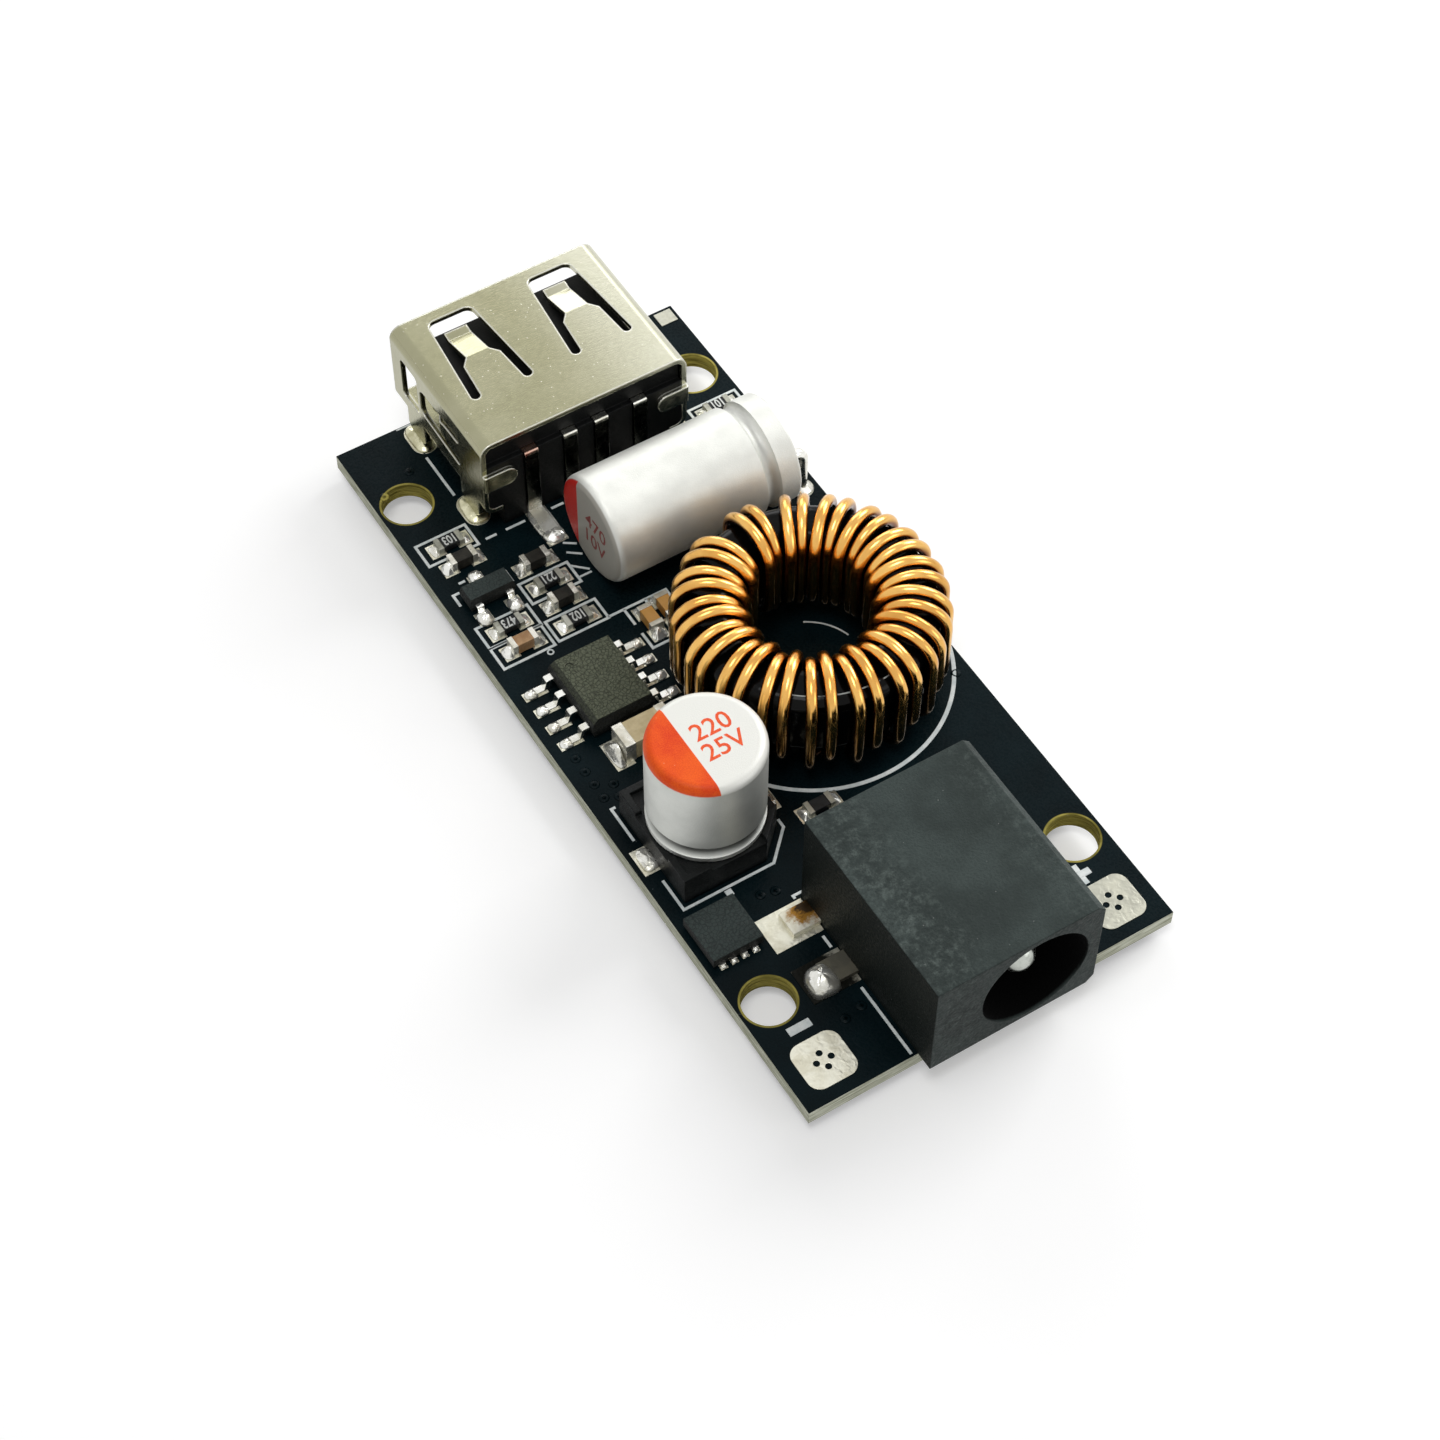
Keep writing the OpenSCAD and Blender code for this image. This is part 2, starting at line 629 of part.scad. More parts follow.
module solder_joints() {
  color(tin) {
    solder_cones([for (y = cap_lead_y) [cap_lead_x, y]], cap_lead_d);
    solder_cones(winding_holes, wire_d);
    for (s = [-1, 1]) for (y = leg_y) translate([s * side_x, y, lead_reach / 2]) difference() {
      linear_extrude(lead_reach / 2) stadium(leg_pad.x, leg_pad.y);
      translate([0, 0, -cut]) linear_extrude(lead_reach)
        square([sheet_t + cut, leg_tip_w + cut], center = true);
    }
  }
}

// USB socket

// Outline of a spring tongue, root at the origin and tip along +Y: past its level part it is narrow
module tongue_outline(root_w, mouth_w, tip_w, l, blade_l) {
  level = spring_level * l;
  shoulder = level - spring_slot_w;
  root = root_w / 2 - spring_slot_w;
  wide = root - (root_w - mouth_w) / 2 * shoulder / l;
  polygon([
    [-root, -sheet_t], [root, -sheet_t], [root, 0], [wide, shoulder], [tip_w / 2, level],
    [tip_w / 2, blade_l], [-tip_w / 2, blade_l], [-tip_w / 2, level], [-wide, shoulder], [-root, 0]
  ]);
}

// Outline of a spring's cut-out, with slots rounded at the root and corners rounded at the mouth
module punch_outline(root_w, mouth_w, l) {
  r = spring_corner;
  side = mouth_w / 2 + (root_w - mouth_w) / 2 * r / l;
  polygon([
    [-root_w / 2, 0], [root_w / 2, 0], [side, l - r], [side - r, l], [r - side, l], [-side, l - r]
  ]);
  for (s = [-1, 1]) {
    translate([s * (side - r), l - r]) circle(r);
    translate([s * (root_w - spring_slot_w) / 2, 0]) circle(d = spring_slot_w);
  }
}

// A spring as the hole that is punched round it, or as the tongue, which dips and turns up at its tip
module sheet_spring(root_w, mouth_w, tip_w, l, tip_gap, punch) {
  blade_l = l - tip_gap;
  if (punch) translate([0, 0, -sheet_t]) linear_extrude(2 * sheet_t) difference() {
    punch_outline(root_w, mouth_w, l);
    tongue_outline(root_w, mouth_w, tip_w, l, blade_l);
  }
  else intersection() {
    along_x(root_w) bent_strip([
      [-sheet_t, 0], [spring_level * l, 0], [blade_l - spring_slot_w, -spring_dip],
      [blade_l + sheet_t, -spring_curl * spring_dip]
    ], sheet_t);
    translate([0, 0, -2 * spring_dip]) linear_extrude(4 * spring_dip)
      tongue_outline(root_w, mouth_w, tip_w, l, blade_l);
  }
}

// Two springs of the upper face, drawn with the sheet's middle at height zero
module face_springs(punch) {
  for (s = [-1, 1]) translate([s * spring_pitch / 2, spring_root, 0])
    sheet_spring(spring_root_w, spring_mouth_w, spring_tip_w, spring_l, mouth_band, punch);
}

module side_spring(punch) {
  mouth_w = side_spring_w - side_spring_taper;
  sheet_spring(side_spring_w, mouth_w, mouth_w - 2 * spring_slot_w, side_spring_l, spring_slot_w, punch);
}

// Every spring of the shell, as punched holes or as tongues
module shell_springs(punch) {
  translate([0, 0, shell_top - sheet_t / 2]) face_springs(punch);
  translate([0, 0, shell_z + sheet_t / 2]) mirror([0, 0, 1]) face_springs(punch);
  for (s = [0, 1]) mirror([s, 0, 0]) translate([side_x, side_spring_root, side_spring_z])
    rotate([0, 90, 0]) side_spring(punch);
}

module shell_leg() {
  shoulder = deck + sheet_t;
  neck = shoulder + pad_rim;
  along_x(sheet_t) polygon([
    [-leg_w / 2, shell_z + shell_bend], [-leg_w / 2, neck], [-leg_tip_w / 2, shoulder],
    [-leg_tip_w / 2, leg_tip_w / 4], [-leg_tip_w / 4, 0], [leg_tip_w / 4, 0],
    [leg_tip_w / 2, leg_tip_w / 4], [leg_tip_w / 2, shoulder], [leg_w / 2, neck],
    [leg_w / 2, shell_z + shell_bend]
  ]);
}

module shell_lug() {
  lug_y = shell_rear - sheet_t / 2;
  end_x = side_x - lug_l + lug_h / 2;
  translate([0, 0, lug_z]) linear_extrude(lug_h)
    bent_strip([[side_x, shell_rear + sheet_t], [side_x, lug_y], [end_x, lug_y]], sheet_t);
  translate([end_x, lug_y, lug_z + lug_h / 2]) rotate([90, 0, 0])
    cylinder(d = lug_h, h = sheet_t, center = true);
}

module usb_shell() {
  color(nickel) {
    difference() {
      translate([0, shell_mid, shell_z + shell_h / 2]) along_y(shell_l) difference() {
        round_rect(shell_w, shell_h, shell_bend);
        round_rect(shell_w - 2 * sheet_t, shell_h - 2 * sheet_t, shell_bend - sheet_t);
      }
      shell_springs(true);
      translate([0, (leg_window[0] + leg_window[1]) / 2, side_spring_z]) along_x(shell_w + 2 * cut)
        round_rect(leg_window[1] - leg_window[0], leg_window_h, sheet_t);
      translate([0, block_mid])
        block([foot_w + 2 * snug, insulator_t + 2 * snug, sheet_t + 2 * cut], shell_z - cut);
    }
    shell_springs(false);
    for (s = [0, 1]) mirror([s, 0, 0]) {
      for (y = leg_y) translate([side_x, y]) shell_leg();
      shell_lug();
    }
  }
}

module usb_insulator() {
  slot_w = contact_w + 2 * snug;
  color(plastic_black) difference() {
    union() {
      translate([0, block_mid, shell_z + shell_h / 2])
        along_y(insulator_t) round_rect(block_w, block_h, shell_bend - sheet_t);
      translate([0, block_mid]) block([foot_w, insulator_t, shell_lift + shell_h / 2], solder_top);
      translate([0, (block_mid + tongue_end) / 2, tongue_top - tongue_t / 2])
        along_y(tongue_end - block_mid) round_rect(tongue_w, tongue_t, tongue_t / 4);
    }
    for (x = contact_x) translate([x, 0]) along_x(slot_w) bent_strip(contact_path, contact_t + 2 * snug);
    translate([0, shell_rear]) block([shell_w, 2 * insulator_step, shell_h], contact_top);
  }
}

module usb_contacts() {
  color(tin) for (x = contact_x) translate([x, 0]) along_x(contact_w) bent_strip(contact_path, contact_t);
}

// Capacitor cans

// Half section of a deep-drawn can, closed end at height zero, crimped in a groove behind its lip
module can_section(d, l, lip_l) {
  r = d / 2;
  lip_edge = can_bead / 2;
  groove = sqrt(bead_r * bead_r - (bead_r - can_bead) * (bead_r - can_bead));
  difference() {
    union() {
      square([r - can_edge, l]);
      translate([0, can_edge]) square([r, l - can_edge - lip_edge]);
      translate([0, l - can_edge]) square([r - lip_edge, can_edge]);
      translate([r - can_edge, can_edge]) circle(can_edge);
      translate([r - lip_edge, l - lip_edge]) circle(lip_edge);
    }
    translate([r - can_bead + bead_r, l - lip_l - groove]) circle(bead_r);
  }
}

module on_out_axis() {
  translate([out_can_left, out_can_y, out_can_z]) rotate([0, 90, 0]) children();
}

module output_capacitor_can() {
  color(aluminium) on_out_axis() rotate_extrude() difference() {
    can_section(out_can_d, out_can_l, out_lip_l);
    translate([0, out_can_l - bung_l]) square([bung_d / 2 + cut, bung_l + cut]);
  }
}

module output_capacitor_bung() {
  color(rubber_black) difference() {
    on_out_axis() translate([0, 0, out_can_l - bung_l]) cylinder(d = bung_d, h = bung_l - can_bead / 2);
    for (y = cap_lead_y) translate([out_can_left + out_can_l - bung_l / 2, y, out_can_z])
      rotate([0, 90, 0]) cylinder(d = cap_lead_d + cut, h = bung_l);
  }
}

// A lead comes straight out of the bung, bends down and passes the board
module output_capacitor_leads() {
  start = out_can_left + out_can_l - bung_l / 2 + cut;
  bend_x = cap_lead_x - cap_lead_bend;
  color(tin) for (y = cap_lead_y) {
    translate([start, y, out_can_z]) rotate([0, 90, 0]) cylinder(d = cap_lead_d, h = bend_x - start);
    translate([bend_x, y, out_can_z - cap_lead_bend]) rotate([90, 0, 0])
      rotate_extrude(angle = 90) translate([cap_lead_bend, 0]) circle(d = cap_lead_d);
    translate([cap_lead_x, y]) cylinder(d = cap_lead_d, h = out_can_z - cap_lead_bend);
  }
}

module input_capacitor_can() {
  color(aluminium) translate([in_cap_x, in_cap_y, in_can_z + in_can_h]) mirror([0, 0, 1])
    rotate_extrude() can_section(in_can_d, in_can_h, in_lip_l);
}

// Outline of the base, with two chamfered corners, set in from its edge
module base_outline(inset) {
  h = in_base_w / 2 - inset;
  c = in_base_chamfer - (2 - sqrt(2)) * inset;
  polygon([[-h, -h], [h - c, -h], [h, -h + c], [h, h - c], [h - c, h], [-h, h]]);
}

module input_capacitor_base() {
  groove_w = in_term_w + 2 * snug;
  color(plastic_black) translate([in_cap_x, in_cap_y, solder_top]) difference() {
    union() {
      linear_extrude(in_base_t) base_outline(0);
      linear_extrude(in_base_t + in_wall_h) difference() {
        base_outline(0);
        base_outline(in_wall);
        circle(d = in_can_d + 2 * snug);
        square([in_base_w + cut, in_base_w / 2], center = true);
        square([in_base_w / 2, in_base_w + cut], center = true);
      }
    }
    block([in_base_w + 2 * cut, groove_w, in_term_t + snug + cut], -cut);
  }
}

module input_capacitor_terminals() {
  l = in_term_end - in_term_gap;
  color(tin) for (s = [-1, 1]) translate([in_cap_x + s * (in_term_end - l / 2), in_cap_y])
    block([l, in_term_w, in_term_t], solder_top);
}

// Ring inductor

module inductor_core() {
  color(plastic_black) translate([ring_x, ring_y, core_bottom + core_h / 2]) rotate_extrude()
    translate([(core_od + core_id) / 4, 0]) round_rect((core_od - core_id) / 2, core_h, core_edge);
}

// Part of a circle round (r, z) in the ring's section, from one angle to another
function section_arc(r, z, bend, from, to, steps) = [
  for (k = [0 : steps])
  let (t = from + (to - from) * k / steps)
  [r + bend * cos(t), z + bend * sin(t)]
];

// The wire over the core: close round both edges, and arched between them
function arch_section(strand) =
  let (r_in = eye_r(strand) + wire_bend, r_out = rim_r - wire_bend, z = wire_high - wire_bend)
  let (half = (r_out - r_in) / 2, lean = arch_angle)
  let (arch = section_arc((r_in + r_out) / 2, z - half / tan(lean), half / sin(lean) + wire_bend,
    90 + lean, 90 - lean, arch_steps))
  concat(section_arc(r_in, z, wire_bend, 180, 90 + lean, edge_steps),
    [for (k = [1 : arch_steps - 1]) arch[k]],
    section_arc(r_out, z, wire_bend, 90 - lean, 0, edge_steps));

// A section's points set on the ring: the angle goes from one end's to the other's as the wire goes out
function on_ring(section, strand, a_in, a_out) = [
  for (p = section)
  let (a = a_in + (a_out - a_in) * (p.x - eye_r(strand)) / (rim_r - eye_r(strand)))
  concat(ring_point(p.x, a, p.y), a)
];

function on_angle(section, a) = [for (p = section) concat(ring_point(p.x, a, p.y), a)];

// One turn: up in the eye, over the top, down outside and back under to the next turn's place in the eye
function turn_points(turn, strand) =
  let (r_in = eye_r(strand) + wire_bend, r_out = rim_r - wire_bend, z = wire_low(strand) + wire_bend)
  let (a_out = rim_angle(turn, strand))
  let (over = on_ring(arch_section(strand), strand, eye_angle(turn, strand), a_out))
  turn == turns - 1 ? over : concat(over,
    on_angle(section_arc(r_out, z, wire_bend, 0, -90, bend_steps), a_out),
    on_angle(section_arc(r_in, z, wire_bend, -90, -180, bend_steps), eye_angle(turn + 1, strand)));

// A whole wire with its two straight ends, which pass the board
function wire_points(strand) = concat(
  [concat(ring_point(eye_r(strand), eye_angle(0, strand), 0), eye_angle(0, strand))],
  [for (turn = [0 : turns - 1]) for (p = turn_points(turn, strand)) p],
  [concat(ring_point(rim_r, rim_angle(turns - 1, strand), 0), rim_angle(turns - 1, strand))]
);

function place(p) = [p[0], p[1], p[2]];
function unit(v) = v / norm(v);

// Ring of points round the wire: one side always faces along the core's ring, so the tube never twists
function wire_ring(points, i) =
  let (last = len(points) - 1)
  let (t = unit(place(points[min(i + 1, last)]) - place(points[max(i - 1, 0)])))
  let (a = points[i][3])
  let (n = unit(cross([-sin(a), cos(a), 0], t)))
  let (b = cross(t, n))
  [
    for (k = [0 : wire_sides - 1])
    let (q = k * 360 / wire_sides)
    place(points[i]) + wire_r * (n * cos(q) + b * sin(q))
  ];

// Walls and ends of a wire whose first point is number `from` and that has this many rings
function wire_faces(from, rings) = concat(
  [
    for (i = [0 : rings - 2]) for (k = [0 : wire_sides - 1])
    let (here = from + i * wire_sides, next = (k + 1) % wire_sides)
    [here + next, here + k, here + wire_sides + k, here + wire_sides + next]
  ],
  [[for (k = [0 : wire_sides - 1]) from + k]],
  [[for (k = [wire_sides - 1 : -1 : 0]) from + (rings - 1) * wire_sides + k]]
);

// The two wires run side by side: the first passes under the core next to the board, the second above it
module inductor_winding() {
  paths = [wire_points(0), wire_points(1)];
  rings = len(paths[0]);
  points = [for (path = paths) for (i = [0 : rings - 1]) for (p = wire_ring(path, i)) p];
  faces = concat(wire_faces(0, rings), wire_faces(rings * wire_sides, rings));
  color(enamel_copper) polyhedron(points, faces);
}

// Barrel jack

module jack_body() {
  c = jack_chamfer;
  leaf = jack_tab_t + 2 * snug;
  notch_w = jack_tab_w + 2 * snug;
  color(moulding_grey) {
    difference() {
      translate([jack_left, jack_rear - jack_l / 2, deck]) along_y(jack_l) polygon([
        [0, 0], [jack_w - c, 0], [jack_w, c], [jack_w, jack_h - c], [jack_w - c, jack_h], [0, jack_h]
      ]);
      translate([jack_bore_x, jack_front - cut, jack_bore_z]) rotate([-90, 0, 0])
        cylinder(d = jack_bore_d, h = jack_bore_l + cut);
      translate([jack_bore_x, jack_front, jack_bore_z]) rotate([-90, 0, 0])
        cylinder(d = jack_tail_d + 2 * snug, h = jack_l - jack_tab_in);
      translate([0, jack_tab_y[0]]) along_y(notch_w) bent_strip(pin_terminal_path, leaf);
      translate([0, jack_tab_y[1]]) along_y(notch_w) bent_strip(sleeve_spring_path, leaf);
      translate([0, jack_tab_y[1]]) along_y(notch_w) polygon([
        [spring_foot_x, jack_bore_z - sleeve_low], [jack_bore_x, jack_bore_z],
        [spring_foot_x, jack_bore_z + sleeve_high]
      ]);
      for (y = jack_tab_y) {
        translate([jack_left, y]) block([2 * jack_notch, notch_w, pad_t + jack_tab_t], deck - cut);
        translate([jack_left + jack_w, y]) block([2 * jack_notch, notch_w, pad_t + leaf], deck - cut);
      }
    }
    for (y = jack_post_y) translate([jack_mid_x, y]) cylinder(d = jack_post_d, h = deck + cut);
  }
}

module jack_pin() {
  tip_y = jack_front + jack_pin_back;
  shank_l = jack_front + jack_bore_l - tip_y - jack_pin_d / 2;
  color(tin) {
    translate([jack_bore_x, tip_y + jack_pin_d / 2, jack_bore_z]) {
      sphere(d = jack_pin_d);
      rotate([-90, 0, 0]) cylinder(d = jack_pin_d, h = shank_l);
    }
    translate([jack_bore_x, jack_front + jack_bore_l - cut, jack_bore_z]) rotate([-90, 0, 0])
      cylinder(d = jack_tail_d, h = jack_l - jack_bore_l - jack_tab_in);
  }
}

module jack_pin_terminal() {
  color(tin) difference() {
    translate([0, jack_tab_y[0]]) along_y(jack_tab_w) bent_strip(pin_terminal_path, jack_tab_t);
    translate([jack_bore_x, jack_front, jack_bore_z]) rotate([-90, 0, 0])
      cylinder(d = jack_tail_d + cut, h = jack_l - jack_tab_in + cut);
  }
}

module jack_sleeve_spring() {
  color(tin) translate([0, jack_tab_y[1]]) along_y(jack_tab_w) bent_strip(sleeve_spring_path, jack_tab_t);
}

module jack_anchor_tabs() {
  inside = jack_notch - snug;
  color(tin) for (y = jack_tab_y) translate([jack_left + jack_w + (jack_tab_out - inside) / 2, y])
    block([jack_tab_out + inside, jack_tab_w, jack_tab_t], solder_top);
}

// Leaded chips

module controller_chip() {
  dot_d = 0.45;
  bevel = 0.35;
  draft = 0.15;
  color(epoxy_grey) translate(controller_spot) difference() {
    moulded_body(controller_w, controller_l, deck + body_lift, deck + controller_h, draft);
    translate([-controller_w / 2 + draft, 0, deck + controller_h]) rotate([0, 45, 0])
      cube([bevel, controller_l, bevel], center = true);
    translate([2 * dot_d - controller_w / 2, controller_l / 2 - 2 * dot_d, deck + controller_h - dot_d / 8])
      cylinder(d = dot_d, h = dot_d);
  }
}

module controller_leads() {
  waist = deck + (body_lift + controller_h) / 2;
  color(tin) translate(controller_spot) for (s = [0, 1]) mirror([s, 0, 0]) for (i = [-1.5 : 1.5])
    translate([0, i * controller_pitch])
      gull_wing(controller_w / 2, controller_span / 2, waist, controller_lead_w);
}

module power_switch() {
  color(epoxy_grey) translate(switch_spot)
    block([switch_w, switch_w, switch_h - lead_t], solder_top + lead_t);
}

// Leads end flush under the body and show as small tinned bars along two sides
module power_switch_leads() {
  bar = [switch_pitch / 2, 0.5];
  show = 0.1;
  color(tin) translate(switch_spot) {
    block([switch_w * 0.75, switch_w / 2, lead_t], solder_top);
    for (s = [-1, 1]) for (i = [-1.5 : 1.5])
      translate([i * switch_pitch, s * (switch_w / 2 + show - bar.y / 2)])
        block([bar.x, bar.y, lead_t], solder_top);
  }
}

module transistor() {
  draft = 0.1;
  color(epoxy_grey) translate(transistor_spot)
    moulded_body(transistor_l, transistor_w, deck + body_lift, deck + transistor_h, draft);
}

module transistor_leads() {
  waist = deck + (body_lift + transistor_h) / 2;
  color(tin) translate(transistor_spot) {
    rotate(90) gull_wing(transistor_w / 2, transistor_span / 2, waist, controller_lead_w);
    for (s = [-1, 1]) translate([s * transistor_pitch / 2, 0]) rotate(-90)
      gull_wing(transistor_w / 2, transistor_span / 2, waist, controller_lead_w);
  }
}

// Chip parts

module at_spots(spots) {
  for (p = spots) translate([p.x, p.y]) rotate(p.z) children();
}

// The fired body of a chip, less the metal plated on its ends
module chip_body(l, w, h) {
  block([l - 2 * chip_plate_t, w - 2 * chip_plate_t, h - 2 * chip_plate_t], solder_top + chip_plate_t);
}

module chip_ends(l, w, h, end_l) {
  difference() {
    for (s = [-1, 1]) translate([s * (l - end_l) / 2, 0]) block([end_l, w, h], solder_top);
    chip_body(l, w, h);
  }
}

module chip_resistors() {
  color(glaze_black) at_spots(resistor_spots) chip_body(chip_l, chip_w, resistor_h);
}

module resistor_terminals() {
  color(tin) at_spots(resistor_spots) chip_ends(chip_l, chip_w, resistor_h, chip_end_l);
}

module dark_chip_capacitors() {
  color(ceramic_dark) at_spots(dark_spots) chip_body(chip_l, chip_w, ceramic_h);
}

module tan_chip_capacitors() {
  color(ceramic_tan) at_spots(tan_spots) chip_body(chip_l, chip_w, ceramic_h);
}

module chip_capacitor_terminals() {
  color(tin) at_spots(concat(dark_spots, tan_spots)) chip_ends(chip_l, chip_w, ceramic_h, chip_end_l);
}

module bulk_capacitor() {
  color(ceramic_tan) translate(bulk_spot) chip_body(bulk_l, bulk_w, bulk_h);
}

module bulk_capacitor_terminals() {
  color(tin) translate(bulk_spot) chip_ends(bulk_l, bulk_w, bulk_h, 2 * chip_end_l);
}

circuit_board();
wire_pads();
component_pads();
solder_joints();
usb_shell();
usb_insulator();
usb_contacts();
output_capacitor_can();
output_capacitor_bung();
output_capacitor_leads();
inductor_core();
inductor_winding();
input_capacitor_can();
input_capacitor_base();
input_capacitor_terminals();
jack_body();
jack_pin();
jack_pin_terminal();
jack_sleeve_spring();
jack_anchor_tabs();
controller_chip();
controller_leads();
power_switch();
power_switch_leads();
transistor();
transistor_leads();
chip_resistors();
resistor_terminals();
dark_chip_capacitors();
tan_chip_capacitors();
chip_capacitor_terminals();
bulk_capacitor();
bulk_capacitor_terminals();
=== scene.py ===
"""The usb charging module, dressed: a step-down board with its socket, jack, ring inductor and cans."""

import bmesh
import bpy
import numpy as np
from mathutils import Matrix


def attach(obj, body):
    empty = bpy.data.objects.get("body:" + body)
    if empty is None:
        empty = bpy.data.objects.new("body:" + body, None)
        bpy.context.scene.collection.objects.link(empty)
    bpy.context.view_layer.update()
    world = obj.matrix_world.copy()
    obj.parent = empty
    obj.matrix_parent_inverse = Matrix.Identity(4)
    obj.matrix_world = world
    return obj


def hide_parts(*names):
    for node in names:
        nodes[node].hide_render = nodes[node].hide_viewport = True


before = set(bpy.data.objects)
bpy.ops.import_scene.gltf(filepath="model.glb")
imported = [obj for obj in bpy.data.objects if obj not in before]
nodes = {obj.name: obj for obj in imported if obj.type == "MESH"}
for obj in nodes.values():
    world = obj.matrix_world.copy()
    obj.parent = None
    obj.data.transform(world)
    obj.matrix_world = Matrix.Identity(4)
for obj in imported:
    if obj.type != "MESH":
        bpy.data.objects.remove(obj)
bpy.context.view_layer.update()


# Circuit board: a 1 mm sheet of woven glass and epoxy, routed to its outline and drilled.
# A glossy black solder mask is printed over the copper of both faces; the sawn edges and the
# walls of the screw holes show the bare glass fibre.
MM = 0.001
DECK = 1.8
BOARD_HALF_W = 11.2
BOARD_HALF_L = 25.0
SAWN_START = 0.06
SAWN_FULL = 0.03
HOLE_X = 9.45
HOLE_Y = 19.125
HOLE_MID_Y = 0.625
HOLE_BARE_R = 1.56
HOLE_SOFT = 0.03
MASK_BLACK = ((5, 16, 19), (10, 25, 29))
MASK_DUST = (120, 130, 132)
EDGE_GLASS = ((166, 168, 144), (222, 224, 206))
HOLE_GLASS = ((112, 104, 44), (182, 170, 88))
GLASS_LAYERS = (700.0, 700.0, 9000.0)
WEAVE = 9000.0
WEAVE_RISE = 0.12
SAWN_RISE = 6.0


def srgb(steps):
    """A colour in display steps from 0 to 255, as the linear values that a shader takes."""
    share = np.array(steps) / 255
    linear = np.where(share <= 0.04045, share / 12.92, ((share + 0.055) / 1.055) ** 2.4)
    return (*linear.tolist(), 1.0)


def plug(socket, value):
    """Gives an input socket a link, where the value is a socket, or else the plain value."""
    if isinstance(value, bpy.types.NodeSocket):
        socket.id_data.links.new(value, socket)
    else:
        socket.default_value = value


def feed(node, **inputs):
    """Sets a node's inputs by their names, with _ for a space."""
    for name, value in inputs.items():
        plug(node.inputs[name.replace("_", " ")], value)


def put(tree, kind, **settings):
    """Adds a shader node: small names set its properties, capital ones its inputs."""
    node = tree.nodes.new("ShaderNode" + kind)
    for name in filter(str.islower, settings):
        setattr(node, name, settings[name])
    feed(node, **{name: value for name, value in settings.items() if not name.islower()})
    return node


def calc(operation, *terms):
    """Arithmetic on sockets and numbers, from the first term to the last, clamped to no range."""
    tree = next(term for term in terms if isinstance(term, bpy.types.NodeSocket)).id_data
    node = put(tree, "Math", operation=operation)
    for socket, term in zip(node.inputs, terms[:2]):
        plug(socket, term)
    return calc(operation, node.outputs[0], *terms[2:]) if len(terms) > 2 else node.outputs[0]


def times(*terms):
    """The product of sockets and numbers."""
    return calc("MULTIPLY", *terms)


def ramp(value, start, end, low=0.0, high=1.0):
    """Carries a value from low at start to high at end along a smooth step."""
    node = put(value.id_data, "MapRange", interpolation_type="SMOOTHSTEP", Value=value, From_Min=start,
               From_Max=end, To_Min=low, To_Max=high)
    return node.outputs["Result"]


def span(value, start, end, low=0.0, high=1.0):
    """A ramp whose start and end are in millimetres."""
    return ramp(value, start * MM, end * MM, low, high)


def ease(share, low, high):
    """A ramp over a whole share, from 0 to 1."""
    return ramp(share, 0.0, 1.0, low, high)


def tint(share, first, second):
    """Blends two colours, each a socket or display steps, by a share."""
    node = put(share.id_data, "Mix", data_type="RGBA")
    for index, value in ((0, share), (6, first), (7, second)):
        plug(node.inputs[index], srgb(value) if isinstance(value, tuple) else value)
    return node.outputs[2]


def place_on(tree):
    """Where a point of the piece lies, in metres."""
    return put(tree, "TexCoord").outputs["Object"]


def place_axes(tree):
    """The x, y and z of a point of the piece, in metres."""
    return put(tree, "SeparateXYZ", Vector=place_on(tree)).outputs


def facing_axes(tree):
    """The x, y and z of the way that a face points."""
    return put(tree, "SeparateXYZ", Vector=put(tree, "NewGeometry").outputs["True Normal"]).outputs


def past(value, line):
    """How far a place lies past a line that is given in millimetres."""
    return calc("SUBTRACT", value, line * MM)


def off_axis(first, second):
    """The distance from an axis: the root of the sum of two squares."""
    return calc("SQRT", calc("ADD", times(first, first), times(second, second)))


def noise(place, scale, detail, rough=0.5, bend=0.0):
    """Soft noise in cycles a metre, with finer detail on it and a bend in its lines."""
    node = put(place.id_data, "TexNoise", Vector=place, Scale=scale, Detail=detail, Roughness=rough,
               Distortion=bend)
    return node.outputs[0]


def streaks(tree, stretch, detail, low, high):
    """Noise stretched to cycles a metre along x, y and z, as a share between two of its values."""
    drawn = put(tree, "Mapping", Vector=place_on(tree), Scale=stretch).outputs[0]
    return ramp(noise(drawn, 1.0, detail), low, high)


def start_group(name, inputs, outputs):
    """An empty shader node group with number inputs, and its two end nodes."""
    tree = bpy.data.node_groups.new(name, "ShaderNodeTree")
    for socket, value in inputs.items():
        entry = tree.interface.new_socket(socket, in_out="INPUT", socket_type="NodeSocketFloat")
        entry.default_value = value
    for socket in outputs:
        tree.interface.new_socket(socket, in_out="OUTPUT", socket_type="NodeSocketFloat")
    return tree, tree.nodes.new("NodeGroupInput").outputs, tree.nodes.new("NodeGroupOutput").inputs


def place_group(tree, group, **values):
    """Puts a shared group into a material with that material's own numbers."""
    return put(tree, "Group", node_tree=group, **values).outputs


# Clouds are soft patches of a given size, with a finer grain on them
clouds, given, made = start_group("clouds", {"Patch": 600.0, "Grain": 9000.0}, ("Patches", "Grains"))
spot = place_on(clouds)
plug(made["Patches"], ramp(noise(spot, given["Patch"], 3.0, 0.55), 0.28, 0.72))
plug(made["Grains"], ramp(noise(spot, given["Grain"], 2.0, 0.6), 0.3, 0.7))

